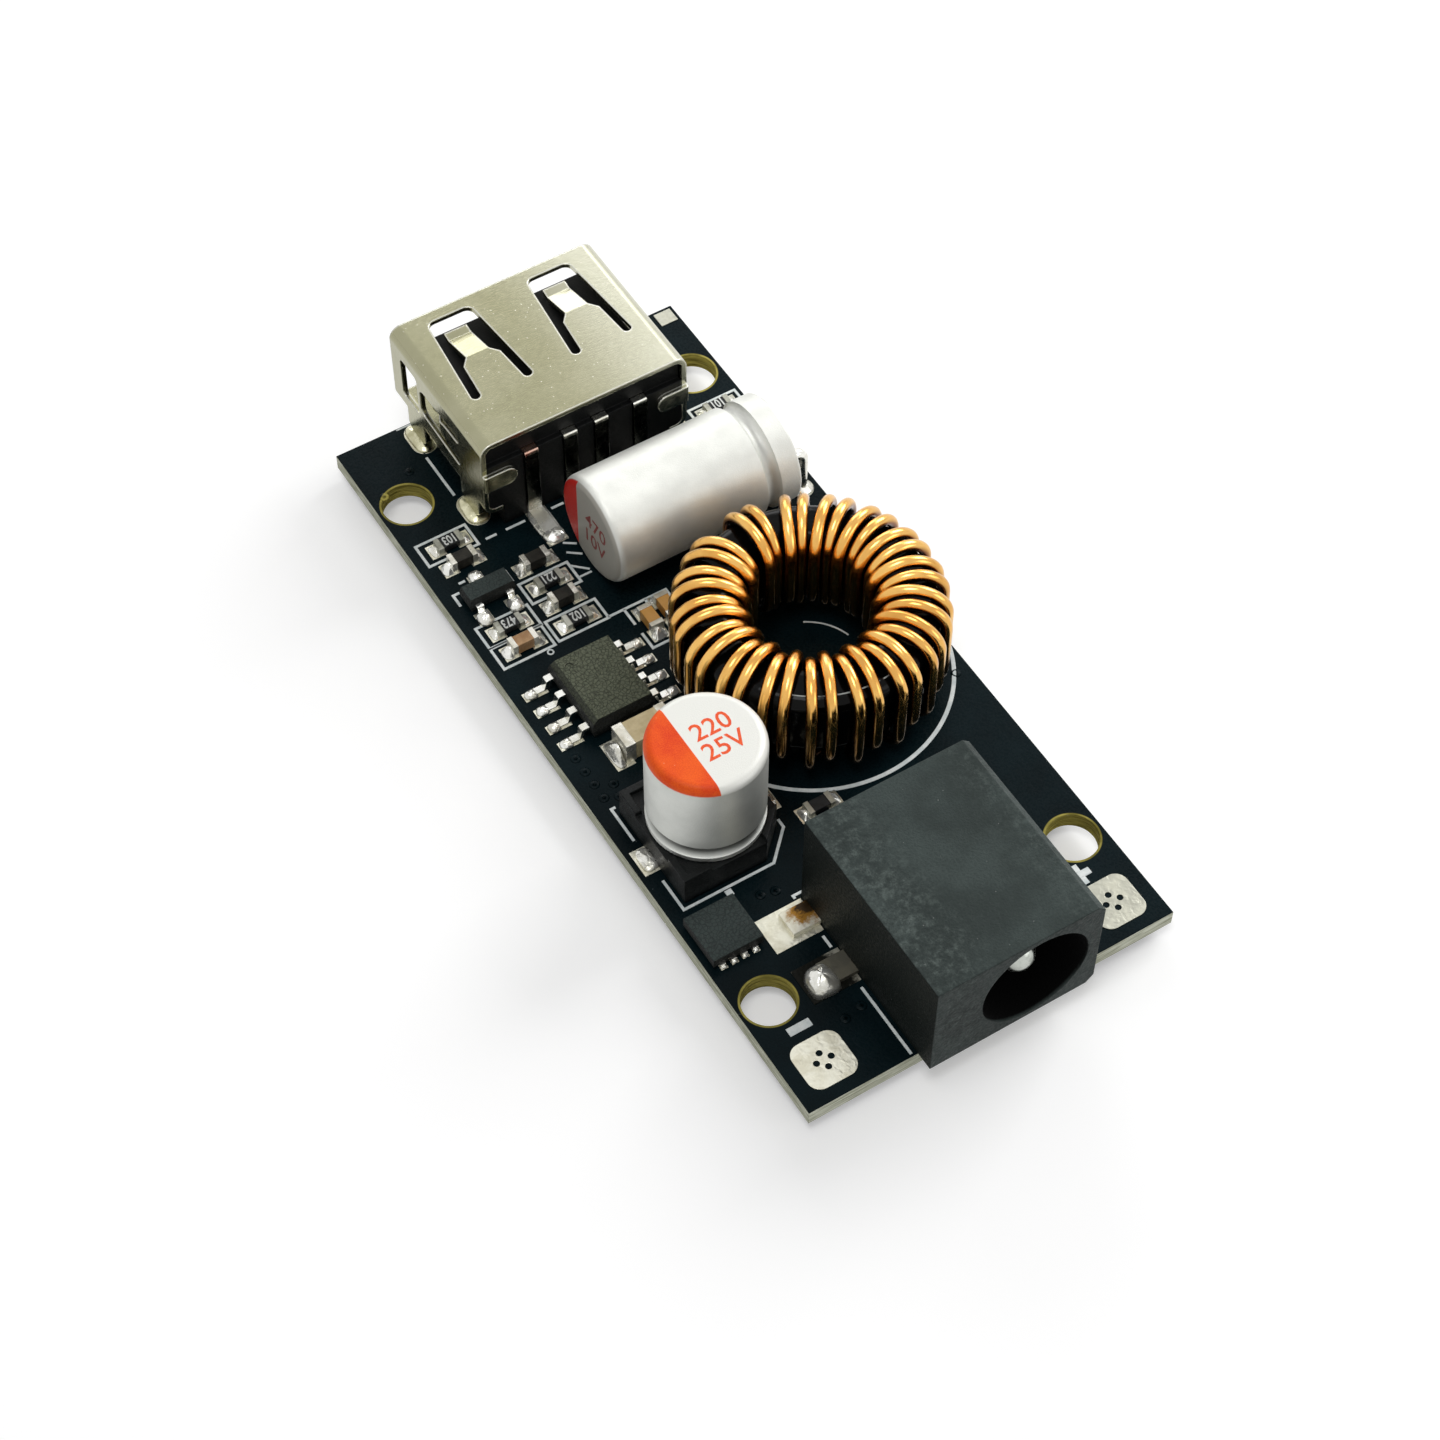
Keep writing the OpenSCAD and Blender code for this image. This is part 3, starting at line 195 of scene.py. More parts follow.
# Dust is a few small specks, far apart, in about one of five cells of a random grid
DUSTY_CELL = 0.78
dust, given, made = start_group("dust", {"Spread": 1500.0, "Speck": 0.12}, ("Specks",))
cells = put(dust, "TexVoronoi", Vector=place_on(dust), Scale=given["Spread"]).outputs
near = calc("LESS_THAN", cells["Distance"], given["Speck"])
cell_draw = put(dust, "SeparateColor", Color=cells["Color"]).outputs[0]
plug(made["Specks"], times(near, calc("GREATER_THAN", cell_draw, DUSTY_CELL)))


def start_finish(name):
    """A new material with its tree and its Principled shader."""
    finish = bpy.data.materials.new(name)
    finish.use_nodes = True
    return finish, finish.node_tree, finish.node_tree.nodes["Principled BSDF"]


def soften_edges(tree, radius):
    """The normal of a surface whose edges are rounded by a radius in millimetres."""
    return put(tree, "Bevel", samples=6, Radius=radius * MM).outputs[0]


def raise_grain(shader, height, depth, edge=None):
    """Feeds a height into the shader's normal as a relief of a depth, over edges rounded by a radius, both
    in millimetres."""
    tree = shader.id_data
    relief = put(tree, "Bump", Strength=1.0, Distance=depth * MM, Height=height)
    if edge is not None:
        feed(relief, Normal=soften_edges(tree, edge))
    feed(shader, Normal=relief.outputs[0])


def dress(finish, *names):
    """Gives CAD nodes their finish."""
    for name in names:
        slots = nodes[name].data.materials
        slots.clear()
        slots.append(finish)


board_finish, tree, shader = start_finish("black_solder_mask")
x, y, _ = place_axes(tree)
face = ramp(calc("ABSOLUTE", facing_axes(tree)[2]), 0.4, 0.6)
sawn = calc("SUBTRACT", 1.0, face)
side_x = span(calc("ABSOLUTE", x), BOARD_HALF_W - SAWN_START, BOARD_HALF_W - SAWN_FULL)
side_y = span(calc("ABSOLUTE", y), BOARD_HALF_L - SAWN_START, BOARD_HALF_L - SAWN_FULL)
outside = calc("MAXIMUM", side_x, side_y)
patches, grains = place_group(tree, clouds, Patch=260.0, Grain=7000.0)
speck = place_group(tree, dust, Spread=1100.0, Speck=0.035)["Specks"]
mask_colour = tint(patches, *MASK_BLACK)
mask_colour = tint(times(speck, 0.5), mask_colour, MASK_DUST)
fibre = streaks(tree, GLASS_LAYERS, 4.0, 0.32, 0.68)
hole_colour = tint(fibre, *HOLE_GLASS)
sawn_colour = tint(outside, hole_colour, tint(fibre, *EDGE_GLASS))
across = past(calc("ABSOLUTE", x), HOLE_X)
along = past(calc("ABSOLUTE", past(y, HOLE_MID_Y)), HOLE_Y)
bare = span(off_axis(across, along), HOLE_BARE_R + HOLE_SOFT, HOLE_BARE_R - HOLE_SOFT)
face_colour = tint(bare, mask_colour, hole_colour)
mask_rough = ease(grains, 0.24, 0.34)
feed(shader, Base_Color=tint(face, sawn_colour, face_colour), Specular_IOR_Level=0.06,
     Roughness=calc("ADD", mask_rough, times(sawn, 0.5)))
threads = (calc("SINE", times(axis, WEAVE)) for axis in (x, y))
weave = times(calc("ADD", *threads), WEAVE_RISE)
rough_cut = times(sawn, fibre, SAWN_RISE)
raise_grain(shader, calc("ADD", weave, rough_cut, grains), 0.004, 0.06)
dress(board_finish, "circuit_board")


# Legend: white ink screened on the mask round each part's place, a few hundredths of a millimetre
# thick. It has frames, polarity bars and the ring's outline, with slightly rounded edges.
INK_RISE = 0.025
INK_WIDTH = 0.17
INK_FLAT = 0.42
RING_CENTRE = np.array([3.56, -2.0])
LEGEND_INK = ((205, 214, 214), (236, 240, 238))
UP = np.array([[0.0, 0.0, 1.0]])
SHARP_EDGE = 30
LEGEND_FRAMES = (
    (-10.55, -7.4, 15.1, 16.75), (-10.5, -7.25, 8.35, 9.95), (-10.5, -7.3, 6.72, 8.3),
    (-6.95, -3.85, 9.8, 11.4), (-7.0, -3.85, 6.8, 8.35), (7.75, 10.9, 15.85, 17.35),
)
SOCKET_DASHES = ((-6.9, -6.2), (-5.6, -4.35), (-2.65, -1.85), (-0.18, 0.18), (1.85, 2.65), (4.35, 5.6))
SOCKET_DASH_Y = 15.2
LEGEND_LINES = (
    ((-3.85, 6.85), (-0.15, 6.85), (-0.15, 5.9)),
    ((-2.85, 6.85), (-2.85, 5.6)),
    ((-2.85, 4.9), (-2.85, 3.72), (-0.15, 3.72), (-0.15, 4.6)),
    ((-1.49, 6.85), (-1.49, 6.3)),
    ((-9.75, 12.62), (-10.42, 12.62), (-10.42, 11.75)),
    ((-9.75, 13.2), (-9.35, 13.2)),
    ((-7.75, 12.62), (-7.1, 12.62), (-7.1, 11.75)),
    ((-6.85, 18.9), (-6.85, 22.2)),
    ((6.85, 18.9), (6.85, 22.2)),
    ((-10.0, -4.25), (-10.25, -4.25), (-10.25, -6.6)),
    ((-10.25, -9.5), (-10.25, -11.6), (-4.75, -11.6), (-3.1, -9.95), (-3.1, -9.4)),
    ((-3.1, -6.6), (-3.1, -5.9), (-4.7, -4.3), (-8.8, -4.3)),
    ((-5.0, -16.7), (-5.0, -17.5)),
    ((-5.0, -20.3), (-5.0, -24.85)),
    ((-5.0, -14.05), (-5.0, -13.85), (5.6, -13.85), (5.6, -14.05)),
    ((5.6, -20.3), (5.6, -24.85)),
)
LEGEND_BARS = (
    (((-7.3, 24.85), (-7.3, 24.9), (7.3, 24.9), (7.3, 24.85)), 0.12),
    (((-7.7, -11.75), (-7.7, -12.15)), 0.4),
    (((-9.62, -20.6), (-8.28, -20.6)), 0.5),
    (((7.75, -20.6), (9.05, -20.6)), 0.42),
    (((8.4, -19.95), (8.4, -20.39)), 0.42),
    (((8.4, -20.81), (8.4, -21.25)), 0.42),
    (((-3.35, 12.7), (-2.7, 12.25)), 0.14),
    (((-3.52, 12.0), (-2.8, 11.45)), 0.14),
    (((-3.8, 11.05), (-3.0, 10.3)), 0.14),
    (((-3.8, 10.1), (-3.0, 10.1)), 0.14),
)
LEGEND_ARCS = (
    ((-7.77, 6.42), 0.16, 0, 350, 0.1, 24),
    (RING_CENTRE, 7.95, -178, -20, 0.24, 96),
    (RING_CENTRE, 7.95, 20, 112, 0.24, 96),
    (RING_CENTRE, 3.3, 15, 62, 0.1, 96),
)


def ring_faces(count, around, closed=False):
    """Four-sided faces between each ring of points and the next. Unless the last ring joins the first,
    the first and the last get an end face."""
    spots = np.arange(count * around).reshape(count, around)
    if closed:
        spots = np.concatenate([spots, spots[:1]])
    turned = np.roll(spots, -1, axis=1)
    faces = np.stack([spots[:-1], turned[:-1], turned[1:], spots[1:]], axis=-1).reshape(-1, 4).tolist()
    if not closed:
        faces += [spots[0][::-1].tolist(), spots[-1].tolist()]
    return faces


def carry_profile(path, sides, ups, profile, closed=False):
    """Carries a closed profile along a path: each point is path + profile x * side + profile y * up."""
    rings = path[:, None] + profile[None, :, :1] * sides[:, None] + profile[None, :, 1:] * ups[:, None]
    return rings.reshape(-1, 3), ring_faces(*rings.shape[:2], closed)


def join_shapes(name, shapes):
    """One mesh from shapes of points, in millimetres, and faces."""
    starts = np.cumsum([0] + [len(points) for points, _ in shapes]).tolist()
    points = np.concatenate([points for points, _ in shapes]) * MM
    faces = [
        [corner + start for corner in face] for start, (_, rows) in zip(starts, shapes) for face in rows
    ]
    mesh = bpy.data.meshes.new(name)
    mesh.from_pydata(points.tolist(), [], faces)
    return mesh


def show(name, data):
    """An object of the scene for a mesh or other data."""
    holder = bpy.data.objects.new(name, data)
    bpy.context.scene.collection.objects.link(holder)
    return holder


def make_piece(name, shapes, finish, sharp=None):
    """A piece on the body from shapes, smooth but for edges sharper than an angle in degrees."""
    mesh = join_shapes(name, shapes)
    mesh.shade_smooth()
    if sharp is not None:
        mesh.set_sharp_from_angle(angle=np.radians(sharp))
    mesh.materials.append(finish)
    piece = show(name, mesh)
    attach(piece, "root")
    return piece


def matt_finish(name, colours, patch, grain, rough, specular=0.5, relief=None, edge=None):
    """A plain skin: patches of two colours, roughness between two ends by its grain, and the grain as a
    relief. Patch and grain are in cycles a metre."""
    finish, tree, shader = start_finish(name)
    patches, grains = place_group(tree, clouds, Patch=patch, Grain=grain)
    feed(shader, Base_Color=tint(patches, *colours), Specular_IOR_Level=specular,
         Roughness=ease(grains, *rough))
    if relief is not None:
        raise_grain(shader, grains, relief, edge)
    return finish, tree, shader


def ink_line(corners, width=INK_WIDTH, closed=False):
    """A flat strip of ink along corner points on the deck: its sides are mitred where two runs meet."""
    path = np.array(corners, float)
    runs = np.roll(path, -1, axis=0) - path
    if not closed:
        runs[-1] = runs[-2]
    runs /= np.linalg.norm(runs, axis=1, keepdims=True)
    before = np.roll(runs, 1, axis=0)
    if not closed:
        before[0] = runs[0]
    across = np.stack([-runs[:, 1], runs[:, 0]], axis=1)
    across_before = np.stack([-before[:, 1], before[:, 0]], axis=1)
    mitre = (across + across_before) / (1 + np.sum(across * across_before, axis=1, keepdims=True))
    profile = np.array([[-0.5, 0], [-INK_FLAT, INK_RISE], [INK_FLAT, INK_RISE], [0.5, 0]]) * [width, 1]
    deck_path = np.column_stack([path, np.full(len(path), DECK)])
    sides = np.column_stack([mitre, np.zeros(len(path))])
    return carry_profile(deck_path, -sides, UP, profile, closed)


def ink_frame(x0, x1, y0, y1):
    """A closed frame of ink with its corners at the given lines."""
    return ink_line([(x0, y0), (x1, y0), (x1, y1), (x0, y1)], closed=True)


def ink_arc(centre, radius, start, end, width, steps):
    """A round strip of ink: the centre plus the radius along the angle, in degrees."""
    angle = np.radians(np.linspace(start, end, steps))
    return ink_line(np.asarray(centre) + radius * np.column_stack([np.cos(angle), np.sin(angle)]), width)


legend = [ink_frame(*lines) for lines in LEGEND_FRAMES]
legend += [ink_line(corners) for corners in LEGEND_LINES]
legend += [ink_line([(x0, SOCKET_DASH_Y), (x1, SOCKET_DASH_Y)]) for x0, x1 in SOCKET_DASHES]
legend += [ink_line(corners, width) for corners, width in LEGEND_BARS]
legend += [ink_arc(*arc) for arc in LEGEND_ARCS]
legend_finish = matt_finish("legend_ink", LEGEND_INK, 1800.0, 15000.0, (0.5, 0.72), relief=0.006)[0]
make_piece("board_legend", legend, legend_finish, sharp=SHARP_EDGE)


# Tented vias: plated holes of a third of a millimetre that the mask covers, so each shows as a low
# black ring with a dimple. They carry heat and current between the two copper faces.
VIA_SPOTS = np.array([
    (-10.2, -0.45), (-10.2, -1.45), (-10.2, -2.42), (-10.2, -3.42), (-9.3, -2.9), (-9.45, -3.75),
    (-3.6, -13.2), (-2.4, -13.1), (-3.0, -12.2), (-6.4, -12.9), (-5.6, -13.1), (9.9, 4.6), (10.2, 6.0),
    (9.6, 13.6), (8.2, 14.4), (-5.6, -21.2), (-6.7, -21.4), (-10.3, 20.9), (-8.2, 21.8), (10.3, -6.4),
])
VIA_PROFILE = np.array([[0.3, 0], [0.27, 0.022], [0.21, 0.03], [0.16, 0.024], [0.11, 0.008], [0.04, 0.003]])
VIA_SIDES = 20


def turned_rings(centres, base, profile, steps):
    """Turns a profile of radius and height about upright axes: x = r cos, y = r sin, z = base + height."""
    angle = np.linspace(0, 2 * np.pi, steps, endpoint=False)
    radius, height = profile.T[..., None]
    axes = np.broadcast_arrays(radius * np.cos(angle), radius * np.sin(angle), base + height)
    ring = np.stack(axes, axis=-1)
    faces = ring_faces(*ring.shape[:2])
    return [(ring.reshape(-1, 3) + [cx, cy, 0], faces) for cx, cy in centres]


make_piece("tented_vias", turned_rings(VIA_SPOTS, DECK, VIA_PROFILE, VIA_SIDES), board_finish)


# Pads: copper left bare of mask and tinned in hot solder, so they are cream bright, a little wavy
# and duller in patches. The two square wire pads at the jack end are pierced by four vias each.
PAD_TOP = 1.85
PAD_TIN = ((228, 226, 210), (204, 200, 180))
PAD_GREY = (158, 158, 146)
FLUX_BURNT = (13, 14, 9)
FLUX_SPOT = (-6.55, -19.0, PAD_TOP)
FRAYED = 1.6

# Tin skin has dull patches, slow ripples and a very fine grain
tin_skin, given, made = start_group(
    "tin_skin", {"Patch": 900.0, "Ripple": 2600.0}, ("Dull", "Ripples", "Grains"),
)
spot = place_on(tin_skin)
plug(made["Dull"], ramp(noise(spot, given["Patch"], 4.0, 0.6, 0.4), 0.36, 0.68))
plug(made["Ripples"], noise(spot, given["Ripple"], 1.0, 0.4, 0.8))
plug(made["Grains"], noise(spot, 22000.0, 2.0))


def tin_finish(name, colours, rough, relief, edge, metallic=1.0):
    """Tinned metal: bright and dull patches, roughness between two ends, ripples of a depth in mm."""
    finish, tree, shader = start_finish(name)
    dull, ripples, grains = place_group(tree, tin_skin)
    feed(shader, Base_Color=tint(dull, *colours), Metallic=metallic, Roughness=ease(dull, *rough))
    raise_grain(shader, calc("ADD", ripples, times(grains, 0.06)), relief, edge)
    return finish, tree, shader


def stain(shader, share, colour):
    """Blends a colour over the finish's own by a share."""
    plain = shader.inputs["Base Color"].links[0].from_socket
    feed(shader, Base_Color=tint(share, plain, colour))


def ragged_noise(tree, scale):
    """Noise with much fine detail, in cycles a metre."""
    return noise(place_on(tree), scale, 6.0, 0.75)


def measure(operation, first, second):
    """One number from two vectors, such as their distance."""
    node = put(first.id_data, "VectorMath", operation=operation)
    plug(node.inputs[0], first)
    plug(node.inputs[1], second)
    return node.outputs["Value"]


def stain_round(tree, centre, inner, outer):
    """A share of 1 near a spot that falls to 0 between two radii, with a ragged edge."""
    away = measure("DISTANCE", place_on(tree), np.array(centre) * MM)
    reach = calc("ADD", away, times(ragged_noise(tree, 2400.0), FRAYED * MM))
    return span(reach, inner + FRAYED / 2, outer + FRAYED / 2, 1.0, 0.0)


pad_finish, tree, shader = tin_finish("tinned_pad", PAD_TIN, (0.3, 0.46), 0.022, 0.03)
stain(shader, span(place_axes(tree)["X"], 7.0, 7.4, 0.0, 0.85), PAD_GREY)
burnt = stain_round(tree, FLUX_SPOT, 1.5, 2.3)
stain(shader, burnt, FLUX_BURNT)
feed(shader, Metallic=calc("SUBTRACT", 1.0, burnt), Specular_IOR_Level=0.1)
dress(pad_finish, "wire_pads", "component_pads")


# Solder: tin alloy melted over each lead and pad. It wets up the metal ends of the chips in hollow
# fillets and sets in bright lumpy domes over the leads, legs and tabs.
RESISTOR_SPOTS = ((-5.42, 7.52), (-8.85, 9.07), (-5.42, 10.62), (-8.85, 15.89), (9.3, 16.6), (-0.84, -9.9))
CAPACITOR_SPOTS = ((-5.42, 9.07), (-5.42, 12.17), (-8.85, 14.34), (-8.85, 7.52))
TURNED_SPOTS = ((-2.09, 5.25), (-0.89, 5.5))
LEAD_ROWS = np.arange(4) - 1.5
CONTROLLER_ROWS = [(-6.85, 2.5 + row * 1.27) for row in LEAD_ROWS]
SWITCH_COLUMNS = [(-9.35 + row * 0.65, -14.0) for row in LEAD_ROWS]
BULK_SPOTS = ((-6.45, -1.4),)
SOLDER_TIN = ((250, 250, 245), (206, 204, 192))
LEG_TIN = ((214, 211, 182), (172, 168, 136))
MOUND_RINGS = 12
MOUND_SIDES = 28
MOUND_TIP = 0.06
MOUND_LOBES = 0.045
MOUND_SWELL = 0.08
MOUND_SQUARE = 0.7


def squared(wave):
    """A wave drawn towards its ends, which makes a round plan a rounded square."""
    return np.sign(wave) * np.abs(wave) ** MOUND_SQUARE


def solder_mounds(rows):
    """Mounds on the pads: at share s from crest to rim the height is h (1 - s^2)^p, and the plan is a
    rounded rectangle of half sizes a and b whose centre slides to the crest as s falls, with a faint
    three-lobed swell. A row holds x, y, a, b, turn in degrees, h, crest and p."""
    x, y, a, b, turn, high, crest, power = np.array(rows, float).T[..., None, None]
    share = np.linspace(1.0, MOUND_TIP, MOUND_RINGS)[None, :, None]
    angle = np.linspace(0, 2 * np.pi, MOUND_SIDES, endpoint=False)[None, None]
    lobes = 1 + MOUND_LOBES * np.sin(3 * angle + 2.4 * x + 1.7 * y)
    along = a * (share * lobes * squared(np.cos(angle)) + crest * (1 - share))
    over = b * share * lobes * squared(np.sin(angle))
    swell = 1 + MOUND_SWELL * np.sin(5 * angle + 3.1 * x) * share
    up = PAD_TOP + high * (1 - share ** 2) ** power * swell
    cos, sin = np.cos(np.radians(turn)), np.sin(np.radians(turn))
    points = np.broadcast_arrays(x + along * cos - over * sin, y + along * sin + over * cos, up)
    faces = ring_faces(share.size, angle.size)
    return [(one.reshape(-1, 3), faces) for one in np.stack(points, axis=-1)]


def lump_pairs(spots, gap, turn, a, b, *rise):
    """Rows for two mounds at each spot, a gap to both sides of it along the turn, that face away from it."""
    step = gap * np.array([np.cos(np.radians(turn)), np.sin(np.radians(turn))])
    return [
        (*(np.array(spot) + side * step), a, b, turn + 90 - 90 * side, *rise)
        for spot in spots for side in (-1, 1)
    ]


lumps = lump_pairs(RESISTOR_SPOTS, 0.95, 0, 0.28, 0.44, 0.26, -0.5, 1.2)
lumps += lump_pairs(CAPACITOR_SPOTS, 0.98, 0, 0.34, 0.47, 0.52, -0.55, 1.35)
lumps += lump_pairs(TURNED_SPOTS, 0.98, 90, 0.34, 0.47, 0.5, -0.55, 1.35)
lumps += [(cx, 10.25, 0.55, 0.45, 270, 0.42, -0.1, 0.7) for cx in (-9.7, -7.8)]
lumps += [(-8.75, 13.0, 0.5, 0.45, 90, 0.42, -0.1, 0.7)]
for cx in (-3.5, -1.0, 1.0, 3.5):
    lumps += [(cx, 13.35, 0.52, 0.66, 270, 0.36, -0.3, 0.6), (cx, 14.4, 1.5, 0.68, 90, 0.2, 0.0, 0.45)]
lumps += [(10.2, cy, 0.64, 0.64, 0, 0.5, 0.0, 1.2) for cy in (9.0, 11.5)]
lumps += [(-10.3, -8.0, 0.5, 0.78, 180, 0.26, -0.2, 0.55), (-3.05, -8.0, 0.45, 0.78, 0, 0.26, -0.2, 0.55)]
lumps += [(-6.6, -19.05, 0.95, 0.85, 90, 0.95, 0.05, 0.55)]
lumps += [(6.42, -15.3, 0.95, 1.0, 0, 0.4, 0.0, 0.6), (6.42, -18.8, 0.95, 1.0, 0, 0.45, 0.0, 0.6)]
lumps += lump_pairs(CONTROLLER_ROWS, 3.3, 0, 0.4, 0.33, 0.3, 0.1, 0.6)
lumps += lump_pairs(SWITCH_COLUMNS, 1.62, 90, 0.13, 0.19, 0.13, 0.0, 0.6)
lumps += lump_pairs(BULK_SPOTS, 1.88, 0, 0.36, 0.95, 0.85, -0.6, 1.5)
leg_lumps = [(cx, cy, 1.13, 0.68, 90, 0.3, 0.0, 0.6) for cx in (-6.45, 6.45) for cy in (17.4, 23.6)]
solder_finish = tin_finish("bright_solder", SOLDER_TIN, (0.14, 0.3), 0.045, 0.02, 0.7)[0]
make_piece("solder_fillets", solder_mounds(lumps), solder_finish)
leg_solder = tin_finish("leg_solder", LEG_TIN, (0.2, 0.36), 0.03, 0.02)[0]
make_piece("leg_fillets", solder_mounds(leg_lumps), leg_solder)
dress(solder_finish, "solder_joints")


# Chip resistors: small ceramic slabs with a black glaze over the resistive film. White figures are
# printed on the glaze, and both ends are tinned for soldering.
FIGURES = ("102", "473", "221", "103", "101")
FIGURE_HIGH = 0.62
FIGURE_NARROW = 0.66
FIGURE_Z = 2.305
TYPE_THICK = 0.02
TYPE_SIZE = 1.4
GLAZE = ((16, 17, 18), (34, 35, 36))
GLAZE_DUST = (120, 122, 120)
FIGURE_INK = ((196, 200, 198), (234, 236, 232))
RESISTOR_TIN = ((190, 190, 178), (140, 140, 128))


def set_type(text, high, bold, centre, along, up):
    """Figures in the built-in face, made a mesh, then set on a plane: centre + x along + y up + z out.

    Their strokes are made wider by a bold share of the height."""
    type_curve = bpy.data.curves.new("type", "FONT")
    type_curve.body = text
    type_curve.size = TYPE_SIZE * high
    type_curve.extrude = TYPE_THICK / 2
    type_curve.offset = bold * high
    type_curve.resolution_u = 3
    holder = show("type", type_curve)
    bpy.context.view_layer.update()
    flat = bpy.data.meshes.new_from_object(holder.evaluated_get(bpy.context.evaluated_depsgraph_get()))
    points = np.empty(len(flat.vertices) * 3)
    flat.vertices.foreach_get("co", points)
    points = points.reshape(-1, 3)
    points[:, :2] -= (points[:, :2].min(0) + points[:, :2].max(0)) / 2
    faces = [list(face.vertices) for face in flat.polygons]
    bpy.data.objects.remove(holder)
    bpy.data.curves.remove(type_curve)
    bpy.data.meshes.remove(flat)
    along, up = np.array(along, float), np.array(up, float)
    return points @ np.stack([along, up, np.cross(along, up)]) + np.array(centre, float), faces


def lay_dust(shader, spread, speck, share, colour):
    """Lays specks over the finish's own colour by a share."""
    specks = place_group(shader.id_data, dust, Spread=spread, Speck=speck)["Specks"]
    stain(shader, times(specks, share), colour)


glaze_finish, _, shader = matt_finish("resistor_glaze", GLAZE, 2500.0, 20000.0, (0.3, 0.5), 0.3, 0.006, 0.05)
lay_dust(shader, 5200.0, 0.07, 1.0, GLAZE_DUST)
dress(glaze_finish, "chip_resistors")
figure_finish = matt_finish("resistor_figures", FIGURE_INK, 3000.0, 24000.0, (0.5, 0.7))[0]
figures = [
    set_type(text, FIGURE_HIGH, 0.03, (cx, cy, FIGURE_Z), (-FIGURE_NARROW, 0, 0), (0, -1, 0))
    for text, (cx, cy) in zip(FIGURES, RESISTOR_SPOTS)
]
make_piece("resistor_print", figures, figure_finish, sharp=SHARP_EDGE)
dress(tin_finish("resistor_end_tin", RESISTOR_TIN, (0.34, 0.5), 0.012, 0.05, 0.6)[0], "resistor_terminals")


# Chip capacitors: stacked ceramic, fired and tumbled, with tinned ends. The dark ones are brown
# grey, the small pair tan and ochre, and the large one by the controller a pale cream.
CERAMIC_LAYERS = 90000.0
CERAMIC_DARK = ((26, 26, 22), (48, 46, 40))
CERAMIC_TAN = ((158, 118, 78), (196, 158, 116))
CERAMIC_OCHRE = (196, 142, 58)
CERAMIC_CREAM = ((196, 178, 134), (222, 206, 166))
END_TIN = ((242, 240, 230), (186, 182, 166))


def ceramic_finish(name, colours, specular):
    """Fired ceramic: layers a few hundredths of a millimetre apart, pale and deep patches, soft sheen."""
    finish, tree, shader = start_finish(name)
    patches, grains = place_group(tree, clouds, Patch=1500.0, Grain=16000.0)
    layer = calc("SINE", times(place_axes(tree)["Z"], CERAMIC_LAYERS))
    share = calc("ADD", patches, times(layer, 0.08))
    feed(shader, Base_Color=tint(share, *colours), Specular_IOR_Level=specular,
         Roughness=ease(grains, 0.34, 0.55))
    raise_grain(shader, grains, 0.008, 0.07)
    return finish, tree, shader


dress(ceramic_finish("dark_ceramic", CERAMIC_DARK, 0.2)[0], "dark_chip_capacitors")
tan_finish, tree, shader = ceramic_finish("tan_ceramic", CERAMIC_TAN, 0.4)
stain(shader, span(place_axes(tree)["X"], -4.0, -3.6, 0.0, 0.75), CERAMIC_OCHRE)
dress(tan_finish, "tan_chip_capacitors")
dress(ceramic_finish("cream_ceramic", CERAMIC_CREAM, 0.4)[0], "bulk_capacitor")
end_finish = tin_finish("chip_end_tin", END_TIN, (0.24, 0.42), 0.02, 0.06, 0.7)[0]
dress(end_finish, "chip_capacitor_terminals", "bulk_capacitor_terminals")


# Controller, transistor and power switch: chips moulded in black epoxy with a matt, slightly
# sparked skin, on bent tinned leads that are soldered to their pads.
EPOXY_CELLS = 4600.0
EPOXY_FLANK_SHADE = ((18, 20, 19), (34, 36, 34))
EPOXY_OLIVE = ((40, 44, 33), (94, 99, 82))
EPOXY_SLATE = ((24, 31, 30), (52, 61, 59))
LEAD_TIN = ((248, 248, 243), (212, 210, 199))


def epoxy_finish(name, colours, relief):
    """Moulded epoxy: a skin of small cells, deep between them and pale on them, with its top face painted
    lighter and its sides darker: painted light and shade.
    """
    finish, tree, shader = start_finish(name)
    patches, grains = place_group(tree, clouds, Patch=900.0, Grain=7000.0)
    pits = put(tree, "TexVoronoi", feature="DISTANCE_TO_EDGE", Vector=place_on(tree), Scale=EPOXY_CELLS)
    bumps = ramp(pits.outputs["Distance"], 0.0, 0.14, 0.0, 0.6)
    cells = calc("ADD", bumps, times(grains, 0.5))
    # The top face takes the lit colours and the sides the painted shade.
    top_face = ramp(facing_axes(tree)[2], 0.5, 0.9)
    flank_shade = tint(patches, *EPOXY_FLANK_SHADE)
    feed(shader, Base_Color=tint(top_face, flank_shade, tint(cells, *colours)), Specular_IOR_Level=0.2,
         Roughness=ease(grains, 0.5, 0.72))
    raise_grain(shader, cells, relief, 0.06)
    return finish


dress(epoxy_finish("olive_epoxy", EPOXY_OLIVE, 0.04), "controller_chip")
dress(epoxy_finish("slate_epoxy", EPOXY_SLATE, 0.02), "transistor", "power_switch")
lead_finish = tin_finish("lead_tin", LEAD_TIN, (0.14, 0.28), 0.01, 0.05)[0]
dress(lead_finish, "controller_leads", "transistor_leads", "power_switch_leads")


# Input capacitor: a drawn aluminium can crimped over its seal, standing on a chamfered black base.
# The can is satin white; a red segment and the rating are printed on its top.
INPUT_TOP = 10.07
INPUT_METALS = ((202, 204, 199), (214, 216, 211))
INPUT_DISC_PAINTED_LIGHT = (224, 224, 218)
GROOVE_PAINTED_SHADE = (50, 52, 49)
PRINT_REDS = ((224, 50, 10), (254, 104, 20))
PRINT_WORN = (248, 160, 110)
RATING_HIGH = 1.08
RATING_X = -6.05
SUNK = 0.004
BASE_BLACK = ((7, 9, 9), (17, 20, 20))
BASE_DUST = (110, 114, 114)


